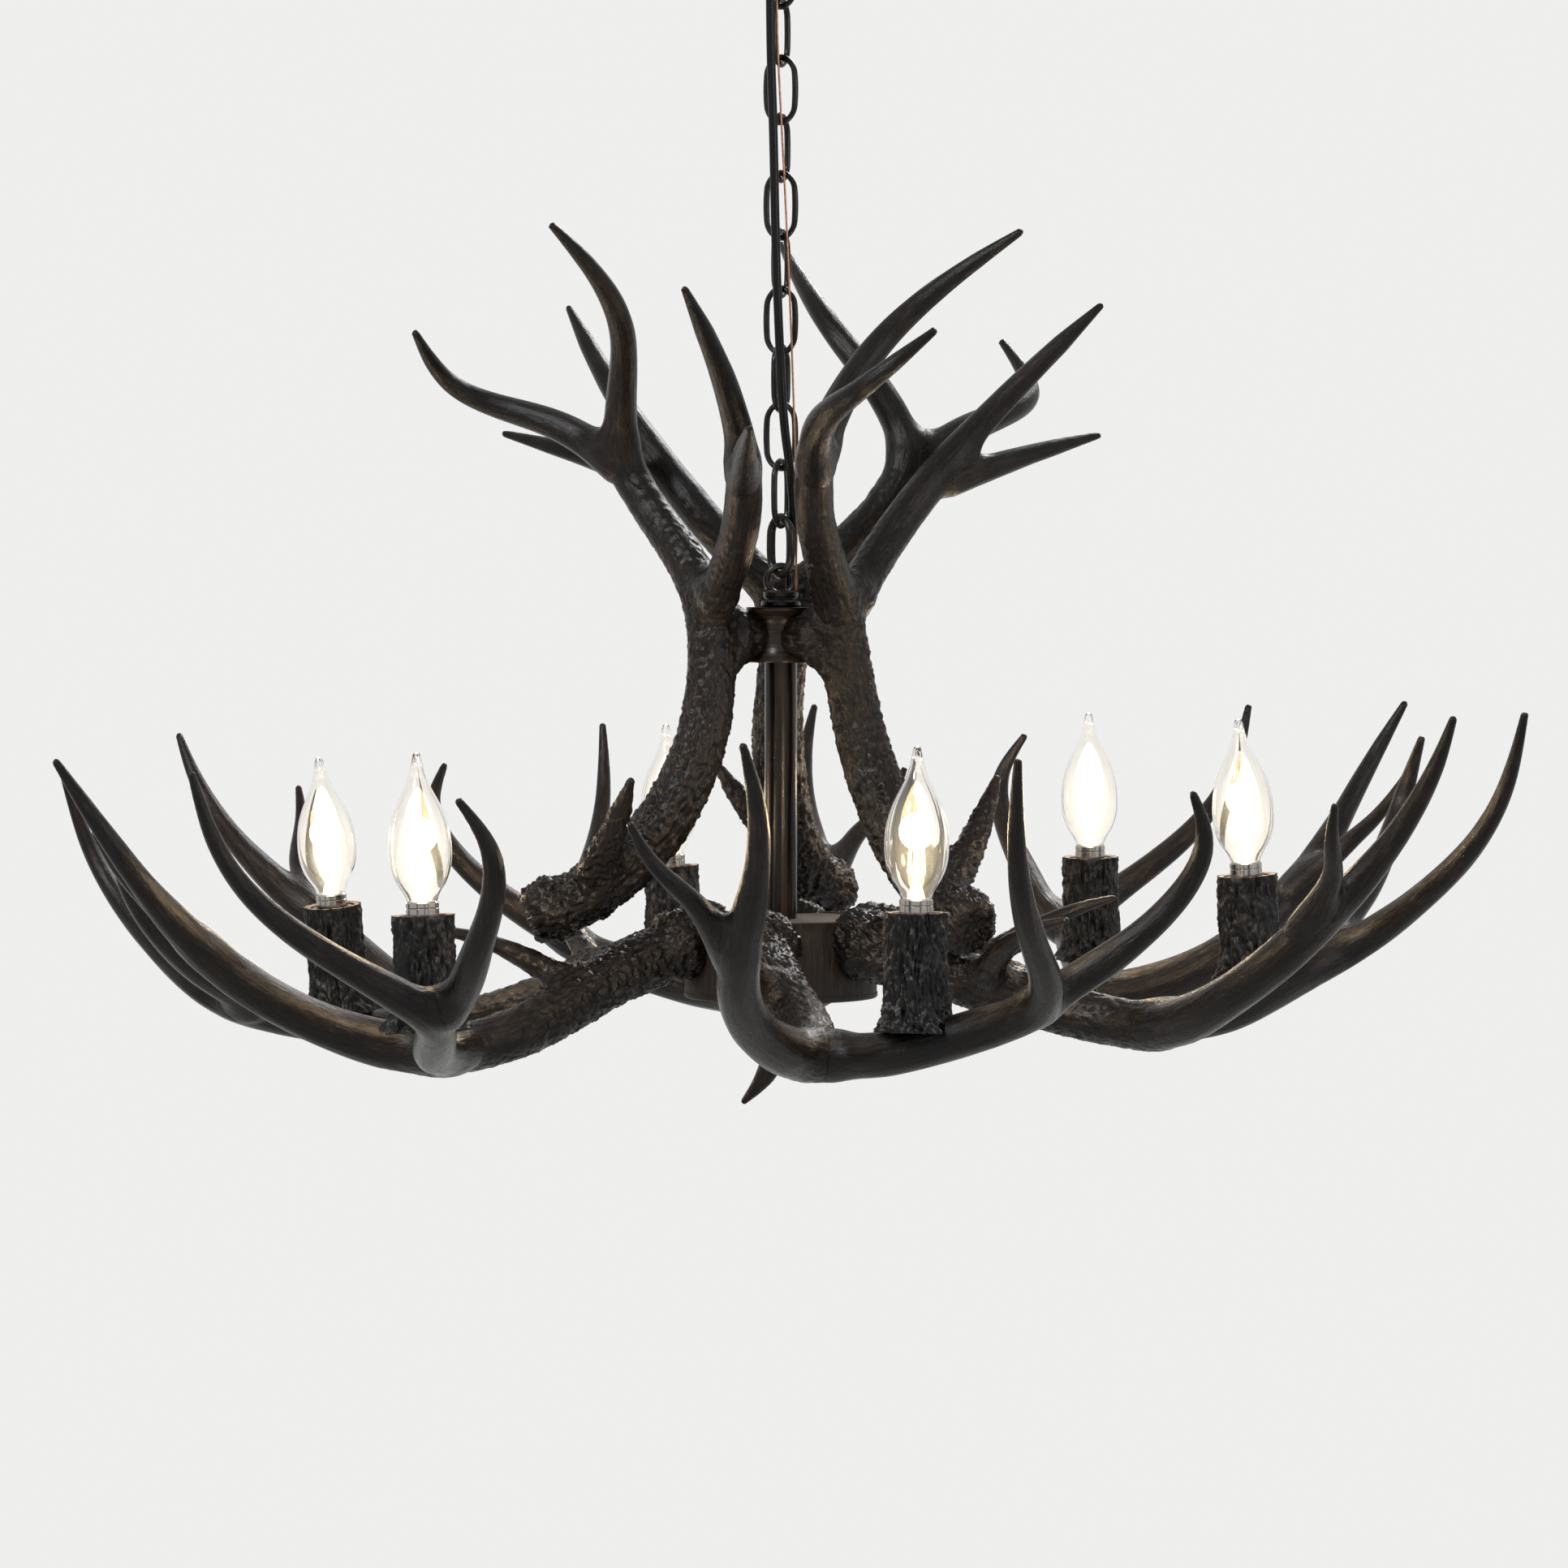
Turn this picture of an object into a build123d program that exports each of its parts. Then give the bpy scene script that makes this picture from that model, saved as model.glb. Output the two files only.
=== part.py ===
from build123d import *
import math
import os

# Six-light antler chandelier on a chain. Millimetres, +Z up.
# The origin is where the fixing bar meets the ceiling, on the axis of the chain.
# The front of the fixture faces -Y.

# ---- driving sizes -------------------------------------------------------------------------
# ceiling rose
bar_length = 90.0
bar_width = 16.0
bar_thickness = 2.5
bar_screw_spacing = 70.0
bar_screw_hole_r = 2.25
canopy_r = 60.0
canopy_height = 24.0
canopy_wall = 1.5
canopy_corner_r = 9.0
nipple_r = 4.9
nipple_hole_clear = 0.3
nipple_nut_r = 8.0
nipple_nut_height = 5.0

# wire eyes, chain and the larger link at its foot
eye_r = 8.3
eye_wire_r = 2.0
eye_neck_r = 7.0
eye_neck_height = 5.0
link_length = 41.6
link_width = 22.3
link_wire_r = 1.85
link_count = 10
link_turn = -25.0
big_link_length = 38.8
big_link_width = 24.0
big_link_wire_r = 2.6
big_link_turn = -52.0
hang_gap = 0.5
wire_sides = 8

# collar and stem tube
foot_r = 11.6
foot_height = 10.0
foot_ring_r = 10.3
foot_ring_height = 5.0
collar_flange_r = 20.4
collar_body_r = 15.3
collar_height = 32.4
collar_flange_height = 1.8
collar_foot_r = 20.0
collar_wall = 2.4
lug_r = 13.0
tube_r = 9.5
tube_wall = 1.5
tube_fit = 0.15
tube_length = 182.3
tube_nut_r = 14.0
tube_nut_height = 6.0

# hub
hub_r = 57.0
hub_height = 44.0
hub_wall = 4.0
hub_top = 4.0
cover_thickness = 3.0
dome_r = 35.0
dome_depth = 12.0
seat_gap = 0.3

# lower antlers, in their own frame: x along the stud, z from the hub's axis line of studs
lower_count = 6
lower_azimuth = -99.6
stud_depth_from_hub_top = 10.0
stud_r = 3.0
stud_clear = 0.15
stud_length = 46.0
stud_nut_r = 5.4
stud_nut_height = 5.0
antler_sides = 8
tip_r = 1.8
# yaw, droop and turn on the stud of each lower antler, in degrees, as the fixture was put up
lower_pose = [(0.3, -0.9, -0.3), (0.4, 1.8, 1.4), (-1.0, 0.6, -6.4),
              (-0.5, -0.6, -1.9), (1.4, -1.4, 1.3), (-0.4, -1.7, 3.0)]

# upper antlers, in their own frame: x outward from the collar, z from the collar's middle
upper_count = 3
upper_azimuth = 195.0
collar_bolt_r = 2.5
collar_bolt_length = 22.0
collar_bolt_head_r = 4.2
collar_bolt_head_height = 2.2
# yaw, droop and turn of each upper antler, in degrees
upper_pose = [(0.5, -0.2, -0.9), (-0.1, 1.5, 0.5), (-0.6, -0.7, 0.2)]

# candles
candle_x = 254.8
candle_y = 115.6
sleeve_top = 27.3
sleeve_height = 64.3
sleeve_r = 17.4
sleeve_root_r = 22.5
sleeve_bore_r = 13.0
sleeve_floor = 4.0
sleeve_sides = 14
wire_hole_r = 4.0
holder_r = 12.6
holder_below_rim = 1.0
holder_wall_clear = 0.1
cap_shell_r = 6.9
cap_shell_length = 22.0
cap_ring_r = 9.2
cap_ring_height = 8.0
cap_tip_r = 3.0
glass_wall = 0.9
glass_neck_r = 8.6
glass_max_r = 17.6
glass_height = 83.0
filament_length = 30.0
filament_spread = 4.2
filament_r = 1.0
filament_count = 4

# cords
cord_r = 2.6
earth_r = 0.6
bush_r = 6.0
bush_height = 6.0

# ---- levels worked down from the ceiling ---------------------------------------------------
hook_z = -canopy_height - eye_neck_height - eye_r + 3.5
link_top_z = hook_z - eye_r + eye_wire_r + link_wire_r + hang_gap
link_span = link_length - 2 * link_wire_r
link_pitch = link_span - 2 * link_wire_r - hang_gap
chain_end_z = link_top_z - link_span - (link_count - 1) * link_pitch
big_link_span = big_link_length - 2 * big_link_wire_r
big_link_top_z = chain_end_z + link_wire_r + big_link_wire_r + hang_gap
big_link_end_z = big_link_top_z - big_link_span
loop_z = big_link_end_z + big_link_wire_r + eye_wire_r + hang_gap - eye_r
foot_top_z = loop_z - eye_r + 2.4
collar_top_z = foot_top_z - foot_height
collar_mid_z = collar_top_z - collar_height / 2
hub_top_z = collar_top_z - tube_length
stud_z = hub_top_z - stud_depth_from_hub_top
hub_bottom_z = hub_top_z - hub_height
bolt_head_out = math.sqrt((collar_body_r - collar_wall) ** 2 - collar_bolt_head_r ** 2) - 0.05

os.makedirs("parts", exist_ok=True)


def save(shape, name):
    """One STEP file for one piece, or for a group of like pieces."""
    shape.label = name
    export_step(shape, f"parts/{name}.step")


def cylinder(radius, low, high, x=0.0, y=0.0):
    """An upright cylinder from one level to another."""
    return Pos(x, y, low) * Cylinder(radius, high - low,
                                     align=(Align.CENTER, Align.CENTER, Align.MIN))


def turned(profile):
    """A solid of revolution about Z from (radius, level) points."""
    outline = Polyline(*[(r, 0, z) for r, z in profile], close=True)
    return revolve(make_face(outline), Axis.Z, 360)


def oval_link(length, width, wire_r):
    """A chain link in the XZ plane, its top wire's centre line at z = 0."""
    span, half = length - 2 * wire_r, width / 2 - wire_r
    path = Polyline((-half, 0, -half), (-half, 0, half - span)) + Line(
        (half, 0, half - span), (half, 0, -half))
    path += ThreePointArc((half, 0, -half), (0, 0, 0), (-half, 0, -half))
    path += ThreePointArc((-half, 0, half - span), (0, 0, -span), (half, 0, half - span))
    section = Plane(origin=(half, 0, -span / 2), z_dir=(0, 0, 1)) * RegularPolygon(
        wire_r, wire_sides)
    return sweep(section, path=Wire(path.edges()), transition=Transition.RIGHT)


def wire_eye():
    """A wire ring standing in the XZ plane about the origin."""
    section = Plane(origin=(eye_r, 0, 0), z_dir=(0, 0, 1)) * RegularPolygon(
        eye_wire_r, wire_sides)
    return revolve(section, Axis.Y, 360)


def limb(points, radii, stations):
    """A tapering antler limb: ruled polygon sections along a smooth line through points."""
    path = Spline(*points)
    across = Vector(0, 0, 1)
    sections = []
    for i in range(stations):
        share = i / (stations - 1)
        tangent = (path % share).normalized()
        across = (across - tangent * across.dot(tangent)).normalized()
        place = share * (len(radii) - 1)
        step = min(int(place), len(radii) - 2)
        radius = radii[step] + (radii[step + 1] - radii[step]) * (place - step)
        plane = Plane(origin=path @ share, x_dir=across, z_dir=tangent)
        sections.append(plane * RegularPolygon(radius, antler_sides))
    return loft(sections, ruled=True)


# ---- ceiling rose --------------------------------------------------------------------------
def mounting_bar():
    bar = Pos(0, 0, -bar_thickness / 2) * Box(bar_length, bar_width, bar_thickness)
    bar = fillet(bar.edges().filter_by(Axis.Z), bar_width / 2 - 0.5)
    for side in (-1, 1):
        bar -= cylinder(bar_screw_hole_r, -bar_thickness, 0, side * bar_screw_spacing / 2)
    return bar - cylinder(nipple_r + nipple_hole_clear, -bar_thickness, 0)


def canopy():
    shell = cylinder(canopy_r, -canopy_height, 0)
    shell = fillet(shell.edges().sort_by(Axis.Z)[0], canopy_corner_r)
    inner = cylinder(canopy_r - canopy_wall, -canopy_height + canopy_wall, 0)
    inner = fillet(inner.edges().sort_by(Axis.Z)[0], canopy_corner_r - canopy_wall)
    shell -= inner
    return shell - cylinder(nipple_r + nipple_hole_clear, -canopy_height, 0)


def hook_loop():
    """Eye, neck and threaded nipple in one piece, with the nut that holds the canopy up."""
    neck = cylinder(eye_neck_r, -canopy_height - eye_neck_height, -canopy_height - seat_gap)
    eye = Pos(0, 0, hook_z) * Rot(0, 0, link_turn + 90) * wire_eye()
    stem = cylinder(nipple_r, -canopy_height - seat_gap, 0)
    nut_top = -bar_thickness - seat_gap
    nut = extrude(RegularPolygon(nipple_nut_r, 6), nipple_nut_height)
    nut = Pos(0, 0, nut_top - nipple_nut_height) * nut
    return neck + eye + stem + nut


def cord_bush():
    """The black bush by which the cord leaves the rose, with the earth wire's beside it."""
    top, low = -canopy_height, -canopy_height - bush_height
    x, y, _ = cord_points[0]
    cord_part = Pos(x, y, 0) * turned([(0, low), (bush_r * 0.7, low), (bush_r, top), (0, top)])
    x, y, _ = earth_points[0]
    return cord_part + cylinder(earth_r * 3, low, top, x, y)


# ---- chain ---------------------------------------------------------------------------------
def chain_link(index):
    """Link number index from the top; neighbours stand square to each other."""
    turn = link_turn + 90 * (index % 2)
    link = oval_link(link_length, link_width, link_wire_r)
    return Pos(0, 0, link_top_z - index * link_pitch) * Rot(0, 0, turn) * link


def big_link():
    link = oval_link(big_link_length, big_link_width, big_link_wire_r)
    return Pos(0, 0, big_link_top_z) * Rot(0, 0, big_link_turn) * link


# ---- top loop, collar, tube and hub --------------------------------------------------------
def top_loop():
    """A wire eye on a turned foot that screws onto the tube."""
    ring_top = foot_top_z
    ring_low = foot_top_z - foot_ring_height
    foot = turned([(0, collar_top_z), (foot_r, collar_top_z), (foot_r, ring_low - 1),
                   (foot_ring_r - 1, ring_low), (foot_ring_r, ring_low + 1),
                   (foot_ring_r, ring_top), (0, ring_top)])
    eye = Pos(0, 0, loop_z) * wire_eye()
    return foot + eye


def spool(extra=0.0):
    """The collar's outer form: a thin top flange, a waist and a bell-shaped foot."""
    top, low = collar_top_z + extra, collar_top_z - collar_height - extra
    under = collar_top_z - collar_flange_height - extra
    waist, foot = collar_body_r + extra, collar_foot_r + extra
    flange = collar_flange_r + extra
    outline = Polyline((0, 0, low), (foot, 0, low), (foot, 0, low + 1 + extra))
    outline += ThreePointArc((foot, 0, low + 1 + extra),
                             ((waist * 2 + foot) / 3 - 0.6, 0, collar_mid_z - 9),
                             (waist, 0, collar_mid_z - 1))
    outline += Line((waist, 0, collar_mid_z - 1), (waist, 0, collar_mid_z + 6))
    outline += ThreePointArc((waist, 0, collar_mid_z + 6), (waist + 1.3, 0, under - 3.6),
                             (flange, 0, under))
    outline += Polyline((flange, 0, under), (flange, 0, top), (0, 0, top), (0, 0, low))
    return revolve(make_face(outline.edges()), Axis.Z, 360)


def collar():
    """A spool-shaped collar bored for the tube, hollow at its waist for the bolt heads."""
    body = spool() - cylinder(tube_r + tube_fit, collar_top_z - collar_height, collar_top_z)
    reach = collar_height / 2 - 4
    body -= cylinder(collar_body_r - collar_wall, collar_mid_z - reach, collar_mid_z + reach)
    for index in range(upper_count):
        body -= upper_place(index) * along_x(collar_bolt_r + stud_clear, 0, collar_flange_r)
    return body


def stem_tube():
    low = hub_top_z - hub_top - tube_nut_height - 2
    return cylinder(tube_r, low, collar_top_z) - cylinder(tube_r - tube_wall, low, collar_top_z)


def tube_nut():
    nut_top = hub_top_z - hub_top
    nut = extrude(RegularPolygon(tube_nut_r, 6), tube_nut_height)
    nut = Pos(0, 0, nut_top - tube_nut_height) * nut
    return nut - cylinder(tube_r + tube_fit, nut_top - tube_nut_height, nut_top)


def hub():
    """A drum, open below, drilled for the six studs."""
    drum = cylinder(hub_r, hub_bottom_z, hub_top_z)
    drum = chamfer(drum.edges().sort_by(Axis.Z)[-1], 1.5)
    drum -= cylinder(hub_r - hub_wall, hub_bottom_z, hub_top_z - hub_top)
    drum -= cylinder(tube_r + tube_fit, hub_top_z - hub_top, hub_top_z)
    for index in range(lower_count):
        drum -= lower_place(index) * along_x(stud_r + stud_clear, hub_r - 12, hub_r + 2)
    return drum


def hub_cover():
    """The cover under the hub, with a shallow dome and a boss that carries the finial tine."""
    low = hub_bottom_z - cover_thickness
    disc = cylinder(hub_r, low, hub_bottom_z)
    dome_radius = (dome_r ** 2 + dome_depth ** 2) / (2 * dome_depth)
    ball = Pos(0, 0, low - dome_depth + dome_radius) * Sphere(dome_radius)
    dome = ball & cylinder(dome_r, low - dome_depth, low)
    spigot = cylinder(hub_r - hub_wall - 0.3, hub_bottom_z, hub_bottom_z + 4)
    spigot -= cylinder(hub_r - hub_wall - 3, hub_bottom_z, hub_bottom_z + 4)
    return disc + dome + spigot


def finial_tine():
    """A small antler tip that hangs under the dome, leaning to one side."""
    top = hub_bottom_z - cover_thickness - dome_depth
    points = [(0, 0, top + 6), (-2, 0, top - 14), (-9, -1, top - 34), (-22, -2, top - 50)]
    tine = limb(points, [9, 8, 6, tip_r], 6)
    dome_radius = (dome_r ** 2 + dome_depth ** 2) / (2 * dome_depth)
    return tine - Pos(0, 0, top + dome_radius) * Sphere(dome_radius + seat_gap)


def terminal_block():
    """The block inside the hub where the six leads meet the supply."""
    block = Pos(hub_r - 29, 0, hub_top_z - hub_top - 9) * Box(16, 44, 18)
    for i in range(5):
        block -= Pos(hub_r - 29, -16 + 8 * i, hub_top_z - hub_top - 16) * Box(18, 2, 6)
    return block


# ---- antlers -------------------------------------------------------------------------------
def along_x(radius, start, end):
    """A round bar along X, at the level z = 0 of an antler's own frame."""
    return Pos(start, 0, 0) * Rot(0, 90, 0) * Cylinder(
        radius, end - start, align=(Align.CENTER, Align.CENTER, Align.MIN))


def lower_place(index):
    """Where a lower antler's own frame lies: its stud goes out from the hub's axis."""
    yaw, droop, turn = lower_pose[index]
    azimuth = lower_azimuth - 360 / lower_count * index + yaw
    at_wall = Pos(hub_r, 0, 0) * Rot(turn, 0, 0) * Pos(-hub_r, 0, 0)
    at_wall = Pos(hub_r, 0, 0) * Rot(0, droop, 0) * Pos(-hub_r, 0, 0) * at_wall
    return Pos(0, 0, stud_z) * Rot(0, 0, azimuth) * at_wall


def upper_place(index):
    """Where an upper antler's own frame lies: its bolt goes out from the collar's axis."""
    yaw, droop, turn = upper_pose[index]
    azimuth = upper_azimuth + 360 / upper_count * index + yaw
    return Pos(0, 0, collar_mid_z) * Rot(0, 0, azimuth) * Rot(0, droop, 0) * Rot(turn, 0, 0)


def lower_antler():
    """Beam from the hub, two forks of two tines, and a brow tine near the burr."""
    burr = limb([(46, 0, 2), (57, 0, 0), (66, 1, -4), (78, 3, -10)], [17, 21, 18, 16], 5)
    beam = limb([(70, 2, -7), (99, 10, -17), (166, 41, -42), (223, 51, -53), (299, 33, -32),
                 (367, 40, 17), (406, 54, 62), (427, 56, 93), (443, 52, 120)],
                [16.5, 16, 14.5, 13.5, 12.5, 10.5, 7, 4.8, tip_r], 18)
    second = limb([(212, 50, -52), (246, 101, -50), (260, 149, -36), (277, 183, -22),
                   (331, 190, 12), (387, 186, 69), (402, 188, 113)],
                  [11, 12.5, 12, 12, 8.5, 6, tip_r], 14)
    fork_tine = limb([(345, 38, 0), (383, 16, 37), (397, -3, 58), (407, -13, 78)],
                     [8, 7, 5, tip_r], 6)
    curl_tine = limb([(268, 168, -30), (261, 235, 15), (265, 272, 69), (279, 267, 94)],
                     [9, 9, 6, tip_r], 9)
    brow_tine = limb([(134, 27, -32), (160, 5, -7), (190, -3, 7), (215, -4, 13)],
                     [8, 6.5, 4.5, tip_r], 6)
    return burr + beam + second + fork_tine + curl_tine + brow_tine


def upper_antler():
    """Beam that stands past the collar, with an outer and an inner fork and a brow tine."""
    burr = limb([(144, 9, -161), (136, 10, -157), (123, 13, -151)], [16.5, 19, 17], 4)
    beam = limb([(130, 12, -155), (85, 18, -121), (47, 14, -37), (46, 1, 17),
                 (61, -30, 58), (81, -54, 100), (94, -12, 174), (149, 41, 235)],
                [17, 16.5, 15.5, 14, 13, 11, 10.5, 7.5, tip_r], 20)
    outer_tine = limb([(78, -48, 92), (115, -86, 122), (171, -110, 144), (202, -85, 176)],
                      [10, 9, 6.5, tip_r], 8)
    inner = limb([(47, 0, 20), (40, 45, 53), (47, 86, 99), (68, 124, 145), (102, 163, 196)],
                 [12, 11, 10, 6.8, tip_r], 11)
    inner_tine = limb([(46, 78, 90), (60, 138, 105), (73, 195, 119)], [8.5, 6.5, tip_r], 6)
    brow_tine = limb([(120, 22, -140), (113, 50, -112), (108, 72, -81)], [9, 7.5, 1.6], 6)
    lug = limb([(12, 0, -1), (26, 1, -1), (44, 8, 0)], [lug_r, lug_r, 14], 3)
    whole = burr + beam + outer_tine + inner + inner_tine + brow_tine + lug
    return whole


def antler_studs():
    return [lower_place(i) * along_x(stud_r, hub_r - 12, hub_r - 12 + stud_length)
            for i in range(lower_count)]


def stud_nuts():
    nuts = []
    for index in range(lower_count):
        nut = Pos(hub_r - hub_wall - 0.6 - stud_nut_height, 0, 0) * Rot(0, 90, 0) * extrude(
            RegularPolygon(stud_nut_r, 6), stud_nut_height)
        nut -= along_x(stud_r + 0.02, hub_r - 12, hub_r)
        nuts.append(lower_place(index) * nut)
    return nuts


def collar_bolts():
    """Bolts from inside the collar into the antlers' lugs."""
    head_out = bolt_head_out
    bolts = []
    for index in range(upper_count):
        bolt = along_x(collar_bolt_r, head_out - 0.5, head_out + collar_bolt_length)
        bolt += along_x(collar_bolt_head_r, head_out - collar_bolt_head_height, head_out)
        bolts.append(upper_place(index) * bolt)
    return bolts


# ---- candles -------------------------------------------------------------------------------
def in_candle(shape):
    """From the candle's own frame, with z = 0 at the sleeve's rim, to its antler's frame."""
    return Pos(candle_x, candle_y, sleeve_top) * shape


def candle_sleeve():
    """Bark-like sleeve that flares to a root, with a floor for the lamp holder."""
    waist = sleeve_r + 0.6
    low = -sleeve_height
    levels = [(low, sleeve_root_r), (low + 7, waist + 2.2), (low + 16, waist), (0, sleeve_r)]
    sections = [Pos(0, 0, z) * RegularPolygon(r, sleeve_sides) for z, r in levels]
    body = loft(sections, ruled=True)
    body -= cylinder(sleeve_bore_r, low + sleeve_floor, 0)
    return body - cylinder(wire_hole_r, low, low + sleeve_floor)


def lamp_holder():
    low = -sleeve_height + sleeve_floor
    top = -holder_below_rim
    body = cylinder(holder_r, low, top)
    body -= cylinder(cap_shell_r + holder_wall_clear, top - cap_shell_length - 4, top)
    return body - cylinder(wire_hole_r, low, top)


def bulb_cap():
    seat = -holder_below_rim + holder_wall_clear
    top = cap_ring_height - 0.5
    return turned([(0, top), (cap_ring_r, top), (cap_ring_r, seat), (cap_shell_r, seat),
                   (cap_shell_r, seat - cap_shell_length + 3),
                   (cap_tip_r, seat - cap_shell_length), (0, seat - cap_shell_length)])


def bulb_glass():
    """A flame-shaped bulb of clear glass, hollow, drawn out to a small tip."""
    low = cap_ring_height - 0.5
    outer = [(glass_neck_r, 0), (15.2, 10), (glass_max_r, 27), (14.2, 47), (7.4, 60),
             (3.4, 70), (2.2, 79), (0, glass_height)]
    inner = [(glass_neck_r - glass_wall, 0), (15.2 - glass_wall, 11),
             (glass_max_r - glass_wall, 27), (14.2 - glass_wall, 46), (6.2, 59), (0, 66)]
    outline = Spline(*[(r, 0, low + z) for r, z in outer])
    outline += Spline(*[(r, 0, low + z) for r, z in inner])
    outline += Line((inner[0][0], 0, low), (outer[0][0], 0, low))
    outline += Line((0, 0, low + inner[-1][1]), (0, 0, low + glass_height))
    return revolve(make_face(outline.edges()), Axis.Z, 360)


def bulb_filament():
    """Glass stem with four long filaments that lean out from it."""
    low = cap_ring_height - 0.5
    rod = extrude(RegularPolygon(filament_r, 4), filament_length)
    rods = [Rot(0, 0, 360 / filament_count * i) * Pos(filament_spread, 0, low + 14)
            * Rot(0, -3, 0) * rod for i in range(filament_count)]
    stem = turned([(0, low), (5, low), (3, low + 8), (2.2, low + 14.5), (0, low + 14.5)])
    plate = cylinder(filament_spread + 0.8, low + 13.6, low + 14.6)
    whole = stem + plate
    for one in rods:
        whole += one
    return whole


# ---- cords ---------------------------------------------------------------------------------
# the supply cord leans along the front of the chain, then slips behind the large link
cord_points = [(-6.3, -15.6, -canopy_height - bush_height), (-6.3, -15.6, -92.0),
               (-4.2, -15.9, -152.0), (-3.2, -15.7, -210.0), (-1.2, -16.0, -265.0),
               (1.4, -15.9, -318.0), (5.8, -11.0, -348.0), (7.8, 1.8, -374.0),
               (5.2, 5.2, -402.0), (5.2, 5.2, foot_top_z)]
# the bare earth wire is strung beside it
earth_points = [(-2.6, -14.2, -canopy_height - bush_height), (-2.6, -14.2, -86.0),
                (0.2, -14.6, -141.0), (3.0, -14.7, -195.0), (5.2, -14.3, -245.0),
                (7.2, -14.5, -296.0), (8.6, -14.6, -345.0), (9.5, -8.0, -378.0),
                (8.9, -3.4, -402.0), (8.9, -3.4, foot_top_z)]


def cord(points, radius):
    """A round cord of straight runs joined by arcs, as large as the runs allow."""
    corners = [Vector(*p) for p in points]
    bends = []
    for before, at, after in zip(corners, corners[1:], corners[2:]):
        turn = math.radians((at - before).get_angle(after - at))
        run = min((at - before).length, (after - at).length)
        bends.append(0.45 * run / math.tan(turn / 2))
    print("cord radii", [round(b) for b in bends])
    path = FilletPolyline(*points, radius=bends)
    start = Plane(origin=path @ 0, z_dir=path % 0)
    tube = sweep(start * Circle(radius), path=path)
    length = path.length
    print("cord length", round(length, 1), "volume ratio",
          round(tube.volume / (math.pi * radius ** 2 * length), 4))
    return tube


# ---- build ---------------------------------------------------------------------------------
save(mounting_bar(), "mounting_bar")
save(canopy(), "canopy")
save(hook_loop(), "hook_loop")
save(cord_bush(), "cord_bush")
save(chain_link(0), "chain_link_top")
save(Compound([chain_link(i) for i in range(1, link_count)]), "chain_links")
save(big_link(), "connector_link")
save(top_loop(), "top_loop")
save(collar(), "collar")
save(stem_tube(), "stem_tube")
save(tube_nut(), "tube_nut")
save(hub(), "hub")
save(hub_cover(), "hub_cover")
save(finial_tine(), "finial_tine")
save(terminal_block(), "terminal_block")
save(Compound(antler_studs()), "antler_studs")
save(Compound(stud_nuts()), "stud_nuts")
save(Compound(collar_bolts()), "collar_bolts")
save(cord(cord_points, cord_r), "supply_cord")
save(cord(earth_points, earth_r), "earth_wire")

moulding = lower_antler()
moulding -= in_candle(cylinder(sleeve_root_r + seat_gap, -sleeve_height, 0))
moulding -= along_x(stud_r + stud_clear, hub_r - 12, hub_r - 12 + stud_length + seat_gap)
wall = cylinder(hub_r + seat_gap, hub_bottom_z - 20, hub_top_z + 20)
sleeve, holder, cap = candle_sleeve(), lamp_holder(), bulb_cap()
glass, filament = bulb_glass(), bulb_filament()
for index in range(lower_count):
    place = lower_place(index)
    number = index + 1
    save(place * moulding - wall, f"lower_antler_{number}")
    save(place * in_candle(sleeve), f"candle_sleeve_{number}")
    save(place * in_candle(holder), f"lamp_holder_{number}")
    save(place * in_candle(cap), f"bulb_cap_{number}")
    save(place * in_candle(glass), f"bulb_glass_{number}")
    save(place * in_candle(filament), f"bulb_filament_{number}")

standing = upper_antler()
bolt_end = bolt_head_out + collar_bolt_length
standing -= along_x(collar_bolt_r + stud_clear, 0, bolt_end + seat_gap)
collar_space = spool(seat_gap)
for index in range(upper_count):
    place = upper_place(index)
    save(place * standing - collar_space, f"upper_antler_{index + 1}")
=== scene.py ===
import bmesh
import bpy
import math
import numpy as np
from mathutils import Matrix, Vector, noise


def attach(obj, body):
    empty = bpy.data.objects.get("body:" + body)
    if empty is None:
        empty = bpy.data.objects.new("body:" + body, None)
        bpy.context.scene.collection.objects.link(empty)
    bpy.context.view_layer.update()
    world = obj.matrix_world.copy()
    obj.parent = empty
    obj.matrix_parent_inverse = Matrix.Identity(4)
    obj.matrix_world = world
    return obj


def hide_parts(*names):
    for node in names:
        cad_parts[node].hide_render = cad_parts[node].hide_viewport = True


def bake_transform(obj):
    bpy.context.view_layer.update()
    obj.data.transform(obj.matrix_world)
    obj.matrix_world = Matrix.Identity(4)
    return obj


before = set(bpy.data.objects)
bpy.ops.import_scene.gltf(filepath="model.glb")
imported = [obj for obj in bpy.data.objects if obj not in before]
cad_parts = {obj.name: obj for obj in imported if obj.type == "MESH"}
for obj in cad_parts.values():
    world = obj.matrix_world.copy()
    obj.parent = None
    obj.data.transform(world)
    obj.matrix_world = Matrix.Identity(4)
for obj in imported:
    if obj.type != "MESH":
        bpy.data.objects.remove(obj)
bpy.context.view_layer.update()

# ---- supply cord and earth wire --------------------------------------
# A round black sheathed cord hangs down the front of the chain with a bare copper wire beside
# it. Both leave the ceiling cup by one bushing and slip past the large link to the foot.
MM = 0.001
canopy_height = 24.0
cup_low = -canopy_height
bush_height = 6.0
bush_low = cup_low - bush_height
foot_top = -416.7
cord_diameter = 5.2
earth_diameter = 1.2
cord_points = [(-6.3, -15.6, bush_low), (-6.3, -15.6, -92.0),
               (-4.2, -15.9, -152.0), (-3.2, -15.7, -210.0), (-1.2, -16.0, -265.0),
               (1.4, -15.9, -318.0), (5.8, -11.0, -348.0), (7.8, 1.8, -374.0),
               (5.2, 5.2, -402.0), (5.2, 5.2, foot_top)]
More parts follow.
